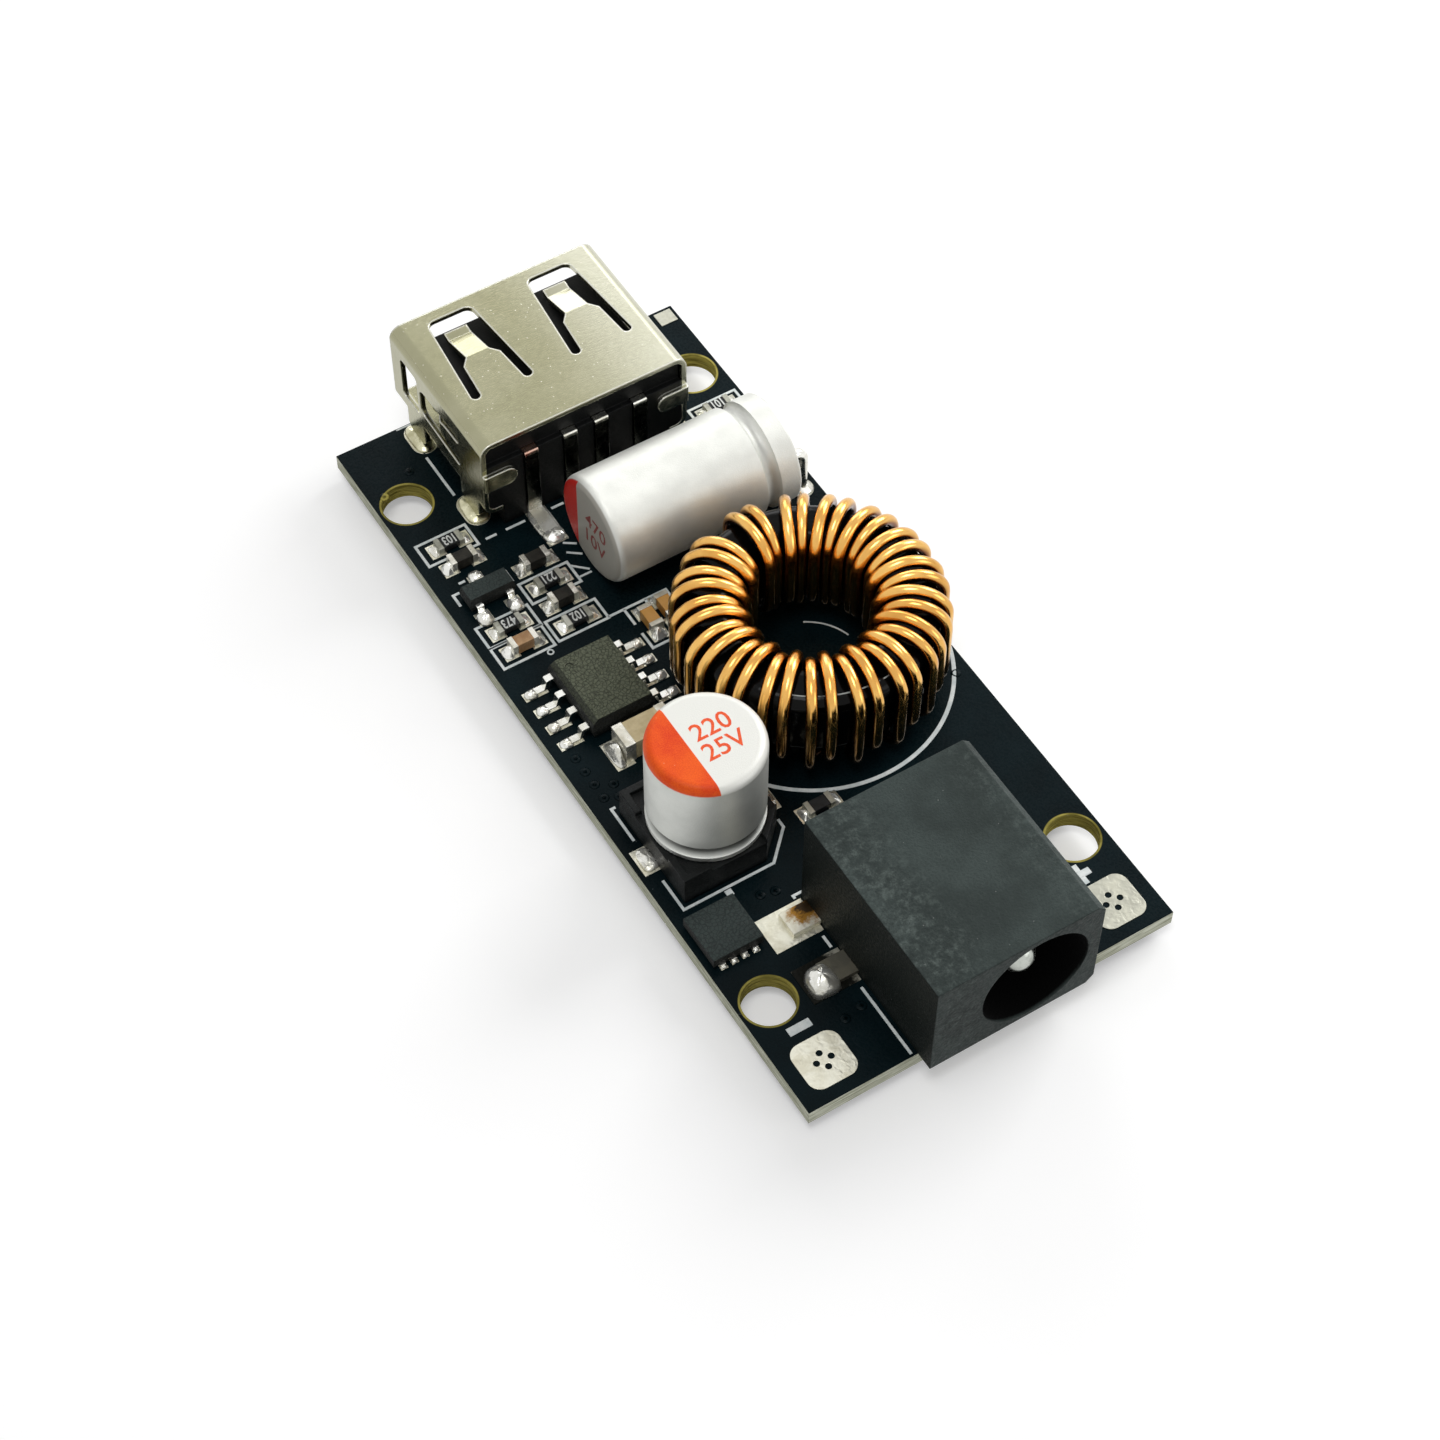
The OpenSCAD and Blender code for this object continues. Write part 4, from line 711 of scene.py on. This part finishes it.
def can_finish(name, metals, metallic, disc, reds, chord, end, groove):
    """Satin aluminium with an end disc, a printed red segment on it and a crimped groove darkened with
    painted shade: chord and end hold the axis and the two places, in millimetres, between which each begins,
    and groove holds the axis, its middle, its half width and how strong the groove's painted shade is."""
    finish, tree, shader = start_finish(name)
    axes = place_axes(tree)
    patches, grains = place_group(tree, clouds, Patch=500.0, Grain=14000.0)
    speck = place_group(tree, dust, Spread=2600.0, Speck=0.1)["Specks"]
    groove_axis, middle, half, groove_shade_share = groove
    from_groove = calc("ABSOLUTE", past(axes[groove_axis], middle))
    metal = tint(patches, *metals)
    # The groove's painted shade: the metal goes to a dark grey towards the groove's middle.
    metal = tint(span(from_groove, half, 0.0, 0.0, groove_shade_share), metal, GROOVE_PAINTED_SHADE)
    mottle = calc("ADD", times(grains, 0.4), times(patches, 0.6))
    red = tint(mottle, *reds)
    red = tint(times(speck, 0.6), red, PRINT_WORN)
    past_chord, on_end = (span(axes[axis], start, stop) for axis, start, stop in (chord, end))
    printed = times(past_chord, on_end)
    # The end disc has its own colour: painted light on the input can's top, lighter than its side, and
    # painted shade on the output can's left end.
    bare_colour = tint(on_end, metal, disc)
    dull = calc("MAXIMUM", printed, times(on_end, 0.6))
    feed(shader, Base_Color=tint(printed, bare_colour, red), Specular_IOR_Level=0.25,
         Metallic=times(calc("SUBTRACT", 1.0, dull), metallic), Roughness=ease(grains, 0.42, 0.52))
    raise_grain(shader, grains, 0.004)
    return finish


def ink_finish(name, colours):
    """Printed ink: deep and pale grains, dull in patches."""
    finish, tree, shader = start_finish(name)
    patches, grains = place_group(tree, clouds, Patch=2000.0, Grain=12000.0)
    feed(shader, Base_Color=tint(grains, *colours), Roughness=ease(patches, 0.4, 0.6))
    return finish


input_can = can_finish(
    "input_can_aluminium", INPUT_METALS, 0.8, INPUT_DISC_PAINTED_LIGHT, PRINT_REDS,
    chord=(0, -7.66, -7.7), end=(2, 9.5, 9.62), groove=(2, 4.3, 0.45, 0.85),
)
dress(input_can, "input_capacitor_can")
rating = [
    set_type(text, RATING_HIGH, 0.012, (RATING_X, cy, INPUT_TOP - SUNK), (1, 0, 0), (0, 1, 0))
    for text, cy in (("220", -7.4), ("25V", -8.75))
]
rating_ink = ink_finish("rating_ink", PRINT_REDS)
make_piece("input_rating", rating, rating_ink, sharp=SHARP_EDGE)
base_finish, _, shader = matt_finish(
    "black_moulding", BASE_BLACK, 1100.0, 12000.0, (0.34, 0.5), 0.16, 0.008, 0.12,
)
lay_dust(shader, 2400.0, 0.06, 0.5, BASE_DUST)
dress(base_finish, "input_capacitor_base")
dress(lead_finish, "input_capacitor_terminals")


# USB socket: a nickel plated sheet folded into a shell, over a black block that holds four tinned
# contacts. Springs are punched out of the sheet and bent in, so the shell is a merged copy of its node
# from which the level sheet over the bent springs is cut. Its legs pass through the board.
NICKEL_SHADE_TO_SHEEN = ((156, 154, 125), (202, 201, 182))
NICKEL_CLOUD = (184, 182, 158)
NICKEL_SPECK = (238, 234, 222)
NICKEL_RIM_HIGHLIGHT = (246, 246, 238)
ROLLED = (2500.0, 12000.0, 2500.0)
SHEET = 0.3
SHELL_TOP = 8.85
SHELL_BOTTOM = 3.15
SHELL_SIDE = 6.6
SPRING_DIP = 0.6
SPRING_CURL = 0.42
SPRING_CLEAR = 0.002
FACE_SPRING_X = (-3.2, 3.2)
FACE_SPRING_Y = 19.2
SIDE_SPRING_Y = 18.55
WELD = 1e-4
BLOCK_BLACK = ((6, 7, 7), (14, 15, 15))
CONTACT_TIN = ((246, 246, 238), (206, 203, 188))
CONTACT_SHADE = (50, 52, 46)
CONTACT_COPPER = (200, 142, 118)

shell_finish, tree, shader = start_finish("shell_nickel")
patches, _ = place_group(tree, clouds, Patch=380.0, Grain=12000.0)
streak = streaks(tree, ROLLED, 3.0, 0.3, 0.7)
# The sheet's colour goes from deep olive at the left to pale at the right: a painted sheen.
painted_sheen = span(place_axes(tree)["X"], -0.8, 6.6)
feed(shader, Base_Color=tint(painted_sheen, *NICKEL_SHADE_TO_SHEEN))
stain(shader, times(patches, 0.25), NICKEL_CLOUD)
lay_dust(shader, 4200.0, 0.14, 0.5, NICKEL_SPECK)
smooth_normal = put(tree, "NewGeometry").outputs["Normal"]
# A pale rim along the upward facing edges of the sheet, with less metal in it, is a painted highlight.
square_on = measure("DOT_PRODUCT", soften_edges(tree, 0.22), smooth_normal)
upward = ramp(put(tree, "SeparateXYZ", Vector=smooth_normal).outputs["Z"], 0.3, 0.9, 0.15, 1.0)
rim = times(ramp(square_on, 0.995, 0.86, 0.0, 0.9), upward)
stain(shader, rim, NICKEL_RIM_HIGHLIGHT)
feed(shader, Metallic=calc("SUBTRACT", 1.0, times(rim, 0.6)), Roughness=ease(streak, 0.18, 0.25))
raise_grain(shader, calc("ADD", streak, times(patches, 1.5)), 0.002, 0.13)


def spring_air(half, bend, low, tip):
    """The air over a bent spring: a prism across it whose floor follows the blade's upper skin, from the
    bend down to the low point and up to the tip. x is across, y along from the root, z out of the sheet."""
    middle = np.array([[bend, 0], [low, -SPRING_DIP], [tip + SHEET, -SPRING_CURL]])
    runs = np.diff(middle, axis=0)
    out = np.column_stack([-runs[:, 1], runs[:, 0]]) / np.linalg.norm(runs, axis=1, keepdims=True)
    before, after = np.concatenate([[[0, 1]], out]), np.concatenate([out, out[-1:]])
    mitre = (before + after) / (1 + np.sum(before * after, axis=1, keepdims=True))
    floor = middle + (mitre - [0, 1]) * SHEET / 2 - [0, SPRING_CLEAR]
    profile = np.concatenate([floor, [[floor[-1, 0], 1.0], [floor[0, 0], 1.0]]])
    ends = np.array([[-half, 0, 0], [half, 0, 0]])
    return carry_profile(ends, np.array([[0.0, 1.0, 0.0]]), UP, profile)


def turn_shape(shape, turn, spot):
    """A shape turned about its y axis by degrees and then moved to a spot."""
    cos, sin = np.cos(np.radians(turn)), np.sin(np.radians(turn))
    return shape[0] @ np.array([[cos, 0, -sin], [0, 1, 0], [sin, 0, cos]]) + spot, shape[1]


face_air = spring_air(0.775, 2.745, 4.8, 5.35)
side_air = spring_air(0.5, 1.89, 3.1, 3.65)
air_shapes = [
    turn_shape(face_air, turn, (cx, FACE_SPRING_Y, cz))
    for turn, cz in ((0, SHELL_TOP), (180, SHELL_BOTTOM)) for cx in FACE_SPRING_X
]
air_shapes += [
    turn_shape(side_air, turn, (cx, SIDE_SPRING_Y, (SHELL_TOP + SHELL_BOTTOM) / 2))
    for turn, cx in ((90, SHELL_SIDE), (270, -SHELL_SIDE))
]
air = show("spring_air", join_shapes("spring_air", air_shapes))
sheet = show("punched_sheet", nodes["usb_shell"].data.copy())
welded = bmesh.new()
welded.from_mesh(sheet.data)
bmesh.ops.remove_doubles(welded, verts=welded.verts, dist=WELD * MM)
welded.to_mesh(sheet.data)
welded.free()
cut = sheet.modifiers.new("springs", "BOOLEAN")
cut.solver = "EXACT"
cut.object = air
bpy.context.view_layer.update()
cut_mesh = bpy.data.meshes.new_from_object(sheet.evaluated_get(bpy.context.evaluated_depsgraph_get()))
cut_mesh.shade_smooth()
edged = bmesh.new()
edged.from_mesh(cut_mesh)
for edge in edged.edges:
    edge.smooth = bool(edge.calc_face_angle(0) < np.radians(SHARP_EDGE))
edged.to_mesh(cut_mesh)
edged.free()
cut_mesh.materials.clear()
cut_mesh.materials.append(shell_finish)
bpy.data.objects.remove(sheet)
bpy.data.objects.remove(air)
punched_shell = show("punched_shell", cut_mesh)
even = punched_shell.modifiers.new("flat_faces", "WEIGHTED_NORMAL")
even.weight = 100
even.keep_sharp = True
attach(punched_shell, "root")
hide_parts("usb_shell")
block_finish = matt_finish("socket_moulding", BLOCK_BLACK, 900.0, 12000.0, (0.4, 0.6), 0.15, 0.006, 0.1)[0]
dress(block_finish, "usb_insulator")
contact_finish, tree, shader = tin_finish("contact_tin", CONTACT_TIN, (0.16, 0.3), 0.01, 0.05)
x, y, z = place_axes(tree)
behind = span(y, 16.4, 16.1)
bare_stub = times(span(x, -2.4, -2.6), span(z, 6.7, 6.85), behind, 0.75)
stain(shader, bare_stub, CONTACT_COPPER)
# The contact legs behind the block, above the feet, are painted dark: painted shade.
stain(shader, times(span(z, 2.5, 3.1), span(z, 6.85, 6.7), behind), CONTACT_SHADE)
feed(shader, Metallic=span(z, 2.2, 2.8, 0.5, 1.0))
dress(contact_finish, "usb_contacts")


# Output capacitor: the same drawn can lying on its side, its rubber bung and leads to the right.
# The red segment of its end disc is turned up and back.
OUTPUT_LEFT = -2.9
OUTPUT_AXIS_Z = 5.125
OUTPUT_RATING_Y = 9.65
OUTPUT_RATING_HIGH = 1.05
OUTPUT_METALS = ((216, 217, 211), (230, 231, 225))
OUTPUT_DISC_PAINTED_SHADE = (166, 163, 154)
OUTPUT_CRIMSON_AND_SHADE = ((176, 20, 16), (204, 40, 28))
SHADED_RATING_REDS = ((96, 38, 34), (142, 60, 54))
RUBBER = ((20, 20, 20), (38, 37, 36))

# On the lying can's left end the red and the rating are darker than on the input can: partly a deeper
# crimson print, partly painted shade.
output_can = can_finish(
    "output_can_aluminium", OUTPUT_METALS, 0.5, OUTPUT_DISC_PAINTED_SHADE, OUTPUT_CRIMSON_AND_SHADE,
    chord=(1, 11.6, 11.64), end=(0, -2.72, -2.8), groove=(0, 7.14, 0.4, 0.4),
)
dress(output_can, "output_capacitor_can")
output_rating = [
    set_type(text, OUTPUT_RATING_HIGH, 0.01, (OUTPUT_LEFT + SUNK, OUTPUT_RATING_Y, OUTPUT_AXIS_Z + rise),
             (0, -1, 0), (0, 0, 1))
    for text, rise in (("470", 0.8), ("10V", -0.6))
]
shaded_ink = ink_finish("shaded_rating_ink", SHADED_RATING_REDS)
make_piece("output_rating", output_rating, shaded_ink, sharp=SHARP_EDGE)
rubber_finish = matt_finish("bung_rubber", RUBBER, 900.0, 10000.0, (0.6, 0.8), 0.2, 0.01, 0.1)[0]
dress(rubber_finish, "output_capacitor_bung")
dress(lead_finish, "output_capacitor_leads")


# Ring inductor: a pressed iron powder ring with a black coating, wound by hand with two enamelled
# copper wires side by side. The four wire ends go down through the board.
WIRE_R = 0.33
WIRE_BEND = 1.18
WIRE_SIDES = 14
WIRE_STEP = 0.17
WIRE_SMOOTH = 1.4
RIM_R = 7.28
EYE_R = 3.82
EYE_INSET = 0.36
EDGE_Z = 7.22
LOW_Z = 2.43
LOW_RISE = 0.71
ARCH_LEAN = 60
TURNS = 17
EYE_START = 110.5
EYE_SWEEP = 356
RIM_START = 120
RIM_SWEEP = 345
PAIR_APART = 8.4
LAST_TURN = 6
HIGHLIGHT_LINE_R = 6.3
HIGHLIGHT_LINE_SIDE = (-0.375, -0.927)
COATING = ((3, 3, 3), (9, 9, 8))
COATING_HIGHLIGHT = (206, 212, 208)
ENAMEL = ((212, 154, 72), (238, 188, 104))
ENAMEL_FLANK_SHADE = ((58, 26, 6), (122, 66, 18))
ENAMEL_LOW_SHADE = (50, 27, 8)

core_finish, tree, shader = start_finish("core_coating")
x, y, z = place_axes(tree)
patches, grains = place_group(tree, clouds, Patch=900.0, Grain=8000.0)
from_axis = [past(axis, middle) for axis, middle in zip((x, y), RING_CENTRE)]
# A thin pale line at the upper outer edge of the ring's front is a painted highlight on the black coating.
from_edge = calc("ABSOLUTE", past(off_axis(*from_axis), HIGHLIGHT_LINE_R))
towards = calc("ADD", *(times(*pair) for pair in zip(from_axis, HIGHLIGHT_LINE_SIDE)))
wear_and_highlight = times(
    span(from_edge, 0.05, 0.02), span(z, 7.5, 7.7),
    span(towards, 0.84 * HIGHLIGHT_LINE_R, 0.9 * HIGHLIGHT_LINE_R), ramp(patches, 0.3, 0.6),
)
feed(shader, Base_Color=tint(patches, *COATING), Specular_IOR_Level=0.1,
     Roughness=ease(grains, 0.08, 0.16))
stain(shader, wear_and_highlight, COATING_HIGHLIGHT)
raise_grain(shader, patches, 0.008)
dress(core_finish, "inductor_core")


def section_arc(radius, height, bend, start, end, steps=9):
    """Part of a circle in the ring's section: its centre plus the bend along the angle, in degrees."""
    angle = np.radians(np.linspace(start, end, steps))
    return np.column_stack([radius + bend * np.cos(angle), height + bend * np.sin(angle)])


def wire_course(strand):
    """The centre line of one wire. Each turn goes close round the core's two upper edges, with an arch
    between them over which the angle about the ring goes from the eye's to the rim's; then down, under
    and back at fixed angles. The course is evened to short steps and smoothed."""
    eye_r = EYE_R - EYE_INSET * strand
    low = LOW_Z + LOW_RISE * strand
    inner, outer = eye_r + WIRE_BEND, RIM_R - WIRE_BEND
    half = (outer - inner) / 2
    lean = np.radians(ARCH_LEAN)
    arch = section_arc((inner + outer) / 2, EDGE_Z - half / np.tan(lean), half / np.sin(lean) + WIRE_BEND,
                       90 + ARCH_LEAN, 90 - ARCH_LEAN, 21)
    over = np.concatenate([section_arc(inner, EDGE_Z, WIRE_BEND, 180, 90 + ARCH_LEAN), arch[1:-1],
                           section_arc(outer, EDGE_Z, WIRE_BEND, 90 - ARCH_LEAN, 0)])
    down = section_arc(outer, low + WIRE_BEND, WIRE_BEND, 0, -90)
    back = section_arc(inner, low + WIRE_BEND, WIRE_BEND, -90, -180)
    turn = np.arange(TURNS)[:, None]
    pitch = EYE_SWEEP / TURNS
    inward = EYE_START + (turn + strand / 2) * pitch
    outward = RIM_START + turn * (RIM_SWEEP / TURNS) + (strand - 0.5) * PAIR_APART
    outward = outward + np.where(turn == TURNS - 1, LAST_TURN, 0)
    about = np.radians(np.concatenate([
        inward + (outward - inward) * (over[:, 0] - eye_r) / (RIM_R - eye_r),
        np.repeat(outward, len(down), axis=1),
        np.repeat(inward + pitch, len(back), axis=1),
    ], axis=1))
    section = np.broadcast_to(np.concatenate([over, down, back]), (*about.shape, 2))
    turns = np.concatenate([section, about[..., None]], axis=-1).reshape(-1, 3)[:-len(down) - len(back)]
    polar = np.concatenate([[[eye_r, 0.0, about[0, 0]]], turns, [[RIM_R, 0.0, turns[-1, 2]]]])
    radius, height, angle = polar.T
    course = np.column_stack([radius * np.cos(angle), radius * np.sin(angle), height])
    run = np.concatenate([[0], np.cumsum(np.linalg.norm(np.diff(course, axis=0), axis=1))])
    even_run = np.linspace(0, run[-1], int(run[-1] / WIRE_STEP))
    course = np.column_stack([np.interp(even_run, run, column) for column in course.T])
    kernel = np.exp(-0.5 * (np.arange(-4, 5) / WIRE_SMOOTH) ** 2)
    kernel /= kernel.sum()
    padded = np.concatenate([2 * course[0] - course[4:0:-1], course, 2 * course[-1] - course[-2:-6:-1]])
    return np.column_stack([np.convolve(column, kernel, "valid") for column in padded.T])


round_wire = np.linspace(0, 2 * np.pi, WIRE_SIDES, endpoint=False)


def wire_coil(strand):
    """A round wire on its course: the ring's tangent crossed with the course gives each section's frame."""
    course = wire_course(strand)
    ahead = np.gradient(course, axis=0)
    ahead /= np.linalg.norm(ahead, axis=1, keepdims=True)
    about = np.arctan2(course[:, 1], course[:, 0])
    tangent = np.column_stack([-np.sin(about), np.cos(about), np.zeros(len(about))])
    sides = np.cross(tangent, ahead)
    sides /= np.linalg.norm(sides, axis=1, keepdims=True)
    ups = np.cross(ahead, sides)
    profile = WIRE_R * np.column_stack([np.cos(round_wire), np.sin(round_wire)])
    return carry_profile(course + [*RING_CENTRE, 0], sides, ups, profile)


enamel_finish, tree, shader = start_finish("enamelled_copper")
patches, grains = place_group(tree, clouds, Patch=420.0, Grain=6000.0)
away_from_core = put(tree, "Attribute", attribute_name="crest").outputs["Fac"]
# Around each wire the colour is painted from dark on the side towards the core, through darker flanks, to
# the copper on its outer crest: painted shade and painted light.
copper = tint(patches, *ENAMEL)
flank_shade = tint(ramp(away_from_core, 0.1, 0.5), *ENAMEL_FLANK_SHADE)
feed(shader, Base_Color=tint(ramp(away_from_core, 0.4, 0.85), flank_shade, copper), Metallic=1.0,
     Roughness=ease(grains, 0.17, 0.25), Coat_Weight=0.3, Coat_Roughness=0.08)
# The wire is painted darker towards the bottom of the ring, down into the eye: painted shade.
stain(shader, span(place_axes(tree)["Z"], 3.2, 7.3, 0.85, 0.0), ENAMEL_LOW_SHADE)
raise_grain(shader, patches, 0.003)
wound_wire = make_piece("wound_wire", [wire_coil(0), wire_coil(1)], enamel_finish)
crest = np.tile((1 - np.cos(round_wire)) / 2, len(wound_wire.data.vertices) // WIRE_SIDES)
wound_wire.data.attributes.new("crest", "FLOAT", "POINT").data.foreach_set("value", crest)
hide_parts("inductor_winding")


# Barrel jack: a black moulding worn to a grey bloom that is painted stronger on its top and front faces, as
# painted light, with a round bore, a nickel plated centre pin and tinned tabs that are soldered to large
# pads on both sides.
JACK_BORE = (1.4, 5.3)
JACK_BORE_R = 3.2
JACK_FRONT = -26.05
JACK_GREYS = ((13, 18, 16), (62, 71, 69))
JACK_DUST = (150, 152, 150)
BORE_PAINTED_SHADE = (2, 2, 2)
SCUFF_PALE = (104, 114, 110)
SCUFF_DARK = (34, 40, 38)
SCUFF_SHARE = 0.85
PIN_NICKEL = ((190, 194, 187), (146, 150, 143))
TAB_TIN = ((244, 241, 226), (226, 221, 200))
TAB_AMBER = (166, 118, 40)
TAB_SCORCHED = (52, 36, 12)
TAB_SOOT = (36, 33, 10)

jack_finish, tree, shader = start_finish("jack_moulding")
x, y, z = place_axes(tree)
facing = facing_axes(tree)
patches, grains = place_group(tree, clouds, Patch=230.0, Grain=7000.0)
# The bloom is laid only on faces that point up or to the front: painted light on the lit faces.
worn_and_lit_faces = calc("MAXIMUM", ramp(facing[2], 0.3, 0.8), ramp(facing[1], -0.3, -0.8, 0.0, 0.6))
wear_and_highlight = times(patches, ease(grains, 0.7, 1.2))
bloom_and_light = times(ease(wear_and_highlight, 0.55, 1.0), worn_and_lit_faces)
feed(shader, Base_Color=tint(bloom_and_light, *JACK_GREYS))
scuffs = ragged_noise(tree, 2200.0)
handled = calc("MAXIMUM", span(x, -0.5, -3.2, 0.1, 0.9), span(x, 2.6, 4.6, 0.1, 0.5))
for start, full, scuff_colour in ((0.44, 0.8, SCUFF_PALE), (0.5, 0.22, SCUFF_DARK)):
    scuffed = times(ramp(scuffs, start, full), handled, worn_and_lit_faces, SCUFF_SHARE)
    stain(shader, scuffed, scuff_colour)
lay_dust(shader, 1700.0, 0.06, 0.4, JACK_DUST)
# The inside of the bore is painted near black with full roughness: painted shade.
from_bore = off_axis(past(x, JACK_BORE[0]), past(z, JACK_BORE[1]))
inside = span(from_bore, JACK_BORE_R + 0.03, JACK_BORE_R + 0.01)
in_bore = times(inside, span(y, JACK_FRONT + 0.02, JACK_FRONT + 0.2))
stain(shader, in_bore, BORE_PAINTED_SHADE)
feed(shader, Roughness=calc("MAXIMUM", ease(grains, 0.46, 0.66), in_bore), Specular_IOR_Level=0.1)
raise_grain(shader, grains, 0.012, 0.12)
dress(jack_finish, "jack_body")
dress(tin_finish("pin_nickel", PIN_NICKEL, (0.2, 0.34), 0.006, 0.05)[0], "jack_pin")
dress(end_finish, "jack_anchor_tabs")
tab_finish, tree, shader = tin_finish("tab_tin", TAB_TIN, (0.3, 0.42), 0.008, 0.05, 0.6)
stain(shader, stain_round(tree, (-5.15, -15.0, 2.15), 0.55, 1.05), TAB_AMBER)
stain(shader, stain_round(tree, (-5.0, -14.9, 2.15), 0.25, 0.6), TAB_SCORCHED)
stain(shader, span(place_axes(tree)["Y"], -17.0, -17.1, 0.0, 0.85), TAB_SOOT)
dress(tab_finish, "jack_pin_terminal", "jack_sleeve_spring")


# Studio: a plain white floor that keeps the module's shadow, and an even white surround. Soft lamps
# hang at the right, overhead and in front, and two behind give the metal its sheen.
FLOOR_HALF = 0.9
FLOOR_GREY = (0.8, 0.8, 0.8, 1)
FLOOR_SEEN = (0.78, 0.78, 0.78, 1)
FLOOR_GLOW = 0.32
SURROUND_LIGHT = 0.3
WHITE = (1, 1, 1, 1)
LAMPS = (
    ("key_lamp", (0.42, 0.1, 0.3), 1.3, 0.24),
    ("top_lamp", (-0.1, -0.06, 0.5), 0.7, 0.2),
    ("sheen_lamp", (0.29, 0.275, 0.3), 0.13, 0.2),
    ("back_lamp", (0.14, 0.38, 0.19), 0.35, 0.2),
    ("front_lamp", (0.3, -0.4, 0.2), 0.3, 0.24),
)
LAMP_TARGET = (0, 0, 0.004)
CAMERA_RIGHT = (0.849438, -0.527667, 0.004733)
CAMERA_DOWN = (-0.426368, -0.691596, -0.583014)
CAMERA_AHEAD = (0.310911, 0.493216, -0.812448)
CAMERA_SPOT = (-0.0551606, -0.0861882, 0.1399423)


def white_for_eyes(tree):
    """A share of 1 for what the camera, a reflection or a clear part sees, and 0 for scattered light."""
    path = put(tree, "LightPath").outputs
    return calc("MAXIMUM", path["Is Camera Ray"], path["Is Glossy Ray"], path["Is Transmission Ray"])


def join_shaders(kind, *terms):
    """A node that adds or mixes its terms, in order."""
    node = put(terms[0].id_data, kind)
    for socket, term in zip(node.inputs, terms):
        plug(socket, term)
    return node.outputs[0]


floor_finish = bpy.data.materials.new("studio_floor")
floor_finish.use_nodes = True
tree = floor_finish.node_tree
tree.nodes.clear()
plain = put(tree, "BsdfDiffuse", Color=FLOOR_GREY).outputs[0]
seen = put(tree, "BsdfDiffuse", Color=FLOOR_SEEN).outputs[0]
glow = put(tree, "Emission", Color=WHITE, Strength=FLOOR_GLOW).outputs[0]
lit = join_shaders("AddShader", seen, glow)
put(tree, "OutputMaterial", Surface=join_shaders("MixShader", white_for_eyes(tree), plain, lit))
floor_mesh = bpy.data.meshes.new("studio_floor")
corners = FLOOR_HALF * np.array([(-1, -1, 0), (1, -1, 0), (1, 1, 0), (-1, 1, 0)])
floor_mesh.from_pydata(corners.tolist(), [], [(0, 1, 2, 3)])
floor_mesh.materials.append(floor_finish)
floor = show("studio_floor", floor_mesh)

world = bpy.data.worlds.new("studio_surround")
world.use_nodes = True
bpy.context.scene.world = world
tree = world.node_tree
feed(tree.nodes["Background"], Color=WHITE, Strength=ease(white_for_eyes(tree), SURROUND_LIGHT, 1.0))

for name, lamp_spot, power, size in LAMPS:
    lamp_data = bpy.data.lights.new(name, "AREA")
    lamp_data.energy = power
    lamp_data.size = size
    back = np.array(lamp_spot) - LAMP_TARGET
    back /= np.linalg.norm(back)
    side = np.cross([0, 0, 1], back)
    side /= np.linalg.norm(side)
    turn = np.column_stack([side, np.cross(back, side), back, lamp_spot])
    show(name, lamp_data).matrix_world = Matrix([*turn.tolist(), [0, 0, 0, 1]])

camera_data = bpy.data.cameras.new("photo_camera")
camera_data.sensor_width = 36
camera_data.lens = 78.889
camera_data.clip_start = 0.01
camera = show("photo_camera", camera_data)
turn = np.column_stack([CAMERA_RIGHT, np.negative(CAMERA_DOWN), np.negative(CAMERA_AHEAD), CAMERA_SPOT])
camera.matrix_world = Matrix([*turn.tolist(), [0, 0, 0, 1]])
bpy.context.scene.camera = camera
bpy.context.scene.view_settings.view_transform = "Standard"
